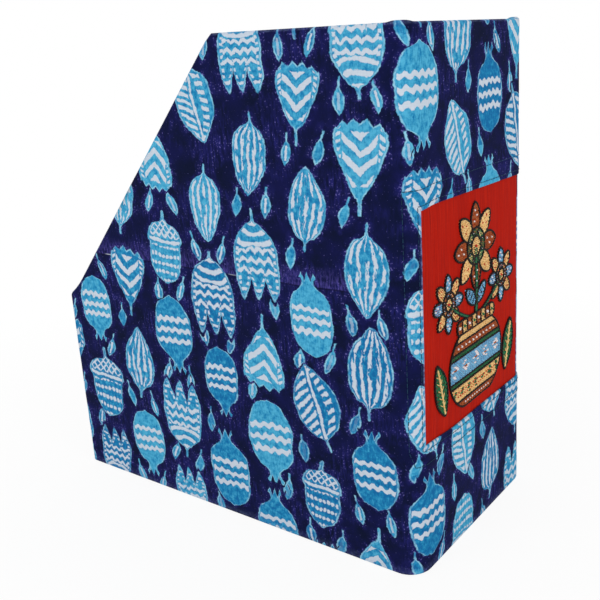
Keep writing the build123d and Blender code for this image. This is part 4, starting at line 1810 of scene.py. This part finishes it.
def makeLiningWall(wall, flat):
    columns, drop, offset = lining["columns"][wall], lining["drop"], lining["planOffset"]
    half = (lining["face"] - lining["back"]) / 2
    stations = liningStations(half)
    points, plans = [], []
    for i in range(columns + 1):
        share = i / columns
        faceTop = 0.0
        for part, inset, level in stations:
            x, y, rise = liningPlace(wall, share, inset)
            if part == "face":
                top = mix(holder["frontHeight"] - drop - half, rimHeight(y, drop + half), rise)
                z = up = faceTop = mix(lining["level"], top, level)
                calm = fade(level, 0, 0.1) * fade(1 - level, 0, 0.1)
                slack = lining["slack"] * calm * (0.5 + wave(share * 260, z, 30, 4.0))
                x, y, _ = liningPlace(wall, share, inset + slack)
            else:
                z = mix(holder["frontHeight"] - level, rimHeight(y, level), rise)
                up = faceTop + level - drop + lining["turnPlan"][part]
            points.append(Vector((x, y, z)))
            plans.append(((share * flat[0] * 1000 + offset) * mm, (up + offset) * mm))
    piece = meshPiece(wall + "LiningCloth", points, gridFaces(columns + 1, len(stations)), plans)
    print(wall, "lining, flat square metres:", round(flatArea(piece), 4))
    piece.data.materials.append(liningCotton)
    thicken(piece, lining["ply"])
    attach(piece, "root")
    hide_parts(wall + "_lining_cloth")
    return piece


for wall, flat, area in (
    ("left", (0.237, 0.305), 0.058),
    ("right", (0.237, 0.305), 0.058),
    ("front", (0.128, 0.135), None),
    ("spine", (0.188, 0.305), None),
):
    makeLiningWall(wall, flat)


flatSheets = {
    # rings of the sheet from its edge inwards: side inset, spine inset, height
    "floor": [(7.45, 9.05, 4.85), (7.45, 9.05, 5.6), (7.55, 9.15, 5.85), (7.8, 9.4, 6.0), (8.3, 9.9, 6.06)],
    "floorPly": 0.42,
    "under": [(4.0, 4.0, 0.25), (4.6, 4.6, 0.25)],
    "underPly": 0.46,
    "steps": (8, 8, 2),  # sharp corners, round corners, long straight runs
    "planOffset": (80.0, 150.0),
}


def makeFlatSheet(name, rings, ply, material):
    # a flat sheet whose edge follows the walls: rings of points, then one face for the middle
    runs = []
    for start, length in zip(runStarts, outerRuns):
        steps = stepsFor(length, flatSheets["steps"])
        runs += [start + length * k / steps for k in range(steps)]
    planX, planY = flatSheets["planOffset"]
    points, plans, faces = [], [], []
    for side, spine, z in rings:
        for run in runs:
            x, y, _ = wallPlace(run, side, spine)
            points.append(Vector((x, y, z)))
            plans.append(((x + planX) * mm, (y + planY + (rings[-1][2] - z)) * mm))
    count = len(runs)
    for r in range(len(rings) - 1):
        for k in range(count):
            n = (k + 1) % count
            faces.append((r * count + k, r * count + n, (r + 1) * count + n, (r + 1) * count + k))
    faces.append(tuple((len(rings) - 1) * count + k for k in range(count)))
    piece = meshPiece(name, points, faces, plans)
    print(name, "flat square metres:", round(flatArea(piece), 4))
    piece.data.materials.append(material)
    thicken(piece, ply)
    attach(piece, "root")
    return piece


floorLining = makeFlatSheet("floorLiningCloth", flatSheets["floor"], flatSheets["floorPly"], liningCotton)
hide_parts("floor_lining_cloth")
underCloth = makeFlatSheet("undersideCloth", flatSheets["under"], flatSheets["underPly"], undersideCotton)
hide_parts("underside_cloth")
print("linings made")

# Boards, tapes and cards keep their solids


def finishOf(name):
    if name.endswith("_board"):
        return millboard
    if "tape" in name:
        return gummedLinen
    return liningBoard if name.endswith("_card") else None


for name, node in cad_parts.items():
    finish = finishOf(name)
    if finish:
        for slot in node.material_slots:
            slot.material = finish

# Stage and lights

studio = {
    "skyStrength": 0.55,
    "floorWide": 12,
    "floorGlow": 0.92,  # what the camera sees of the floor's own glow close to the holder
    "glowNear": 0.15,
    "glowFar": 0.5,
    # place, aim and size in metres, then power
    "sideSoftbox": ((1.7, -0.5, 0.9), (0.07, -0.02, 0.15), 1.1, 11.0),
    "spineSoftbox": ((0.5, 1.8, 0.9), (0, 0.14, 0.15), 1.1, 12.5),
    "topSoftbox": ((-0.6, -0.6, 2.0), (0, 0, 0.15), 1.4, 5.0),
}


def seenShare(tree):
    # 1 for a ray that shows the thing itself, 0 for one that gathers light
    rays = tree.nodes.new("ShaderNodeLightPath")
    seen = calc(tree, "MAXIMUM", rays.outputs["Is Camera Ray"], rays.outputs["Is Glossy Ray"])
    return calc(tree, "MAXIMUM", seen, rays.outputs["Is Transmission Ray"])


def makeStage():
    bpy.ops.mesh.primitive_plane_add(size=1, location=(0, 0, 0))
    floor = bpy.context.active_object
    floor.name = "studioFloor"
    floor.data.transform(Matrix.Scale(studio["floorWide"], 4))
    material, tree, shader = newMaterial("paleFloor", 0.9)
    shader.inputs["Base Color"].default_value = (0.9, 0.9, 0.9, 1)
    grain = noiseOn(tree, objectPlace(tree), 40.0, 3.0)
    feed(tree, shader.inputs["Roughness"], ramp(tree, grain, 0.3, 0.7, 0.85, 0.95))
    glow = tree.nodes.new("ShaderNodeEmission")
    glow.inputs["Color"].default_value = (1, 1, 1, 1)
    glow.inputs["Strength"].default_value = 1.0
    mixer = tree.nodes.new("ShaderNodeMixShader")
    away = tree.nodes.new("ShaderNodeVectorMath")
    away.operation = "LENGTH"
    feed(tree, away.inputs[0], objectPlace(tree))
    near, far = studio["glowNear"], studio["glowFar"]
    share = ramp(tree, away.outputs["Value"], near, far, studio["floorGlow"], 1.0)
    feed(tree, mixer.inputs[0], calc(tree, "MULTIPLY", seenShare(tree), share))
    tree.links.new(shader.outputs[0], mixer.inputs[1])
    tree.links.new(glow.outputs[0], mixer.inputs[2])
    tree.links.new(mixer.outputs[0], tree.nodes["Material Output"].inputs["Surface"])
    floor.data.materials.append(material)


def makeSky():
    world = bpy.data.worlds.new("studioSky")
    world.use_nodes = True
    tree = world.node_tree
    sky = tree.nodes["Background"]
    sky.inputs["Color"].default_value = (1, 1, 1, 1)
    feed(tree, sky.inputs["Strength"], pick(tree, seenShare(tree), studio["skyStrength"], 1.0))
    bpy.context.scene.world = world


def makeLamp(name, place, aim, size, power):
    data = bpy.data.lights.new(name, "AREA")
    data.shape = "DISK"
    data.size = size
    data.energy = power
    lamp = bpy.data.objects.new(name, data)
    lamp.location = place
    lamp.rotation_euler = (Vector(aim) - Vector(place)).to_track_quat("-Z", "Y").to_euler()
    bpy.context.scene.collection.objects.link(lamp)


makeStage()
makeSky()
for name in ("sideSoftbox", "spineSoftbox", "topSoftbox"):
    makeLamp(name, *studio[name])
print("stage and lights set")
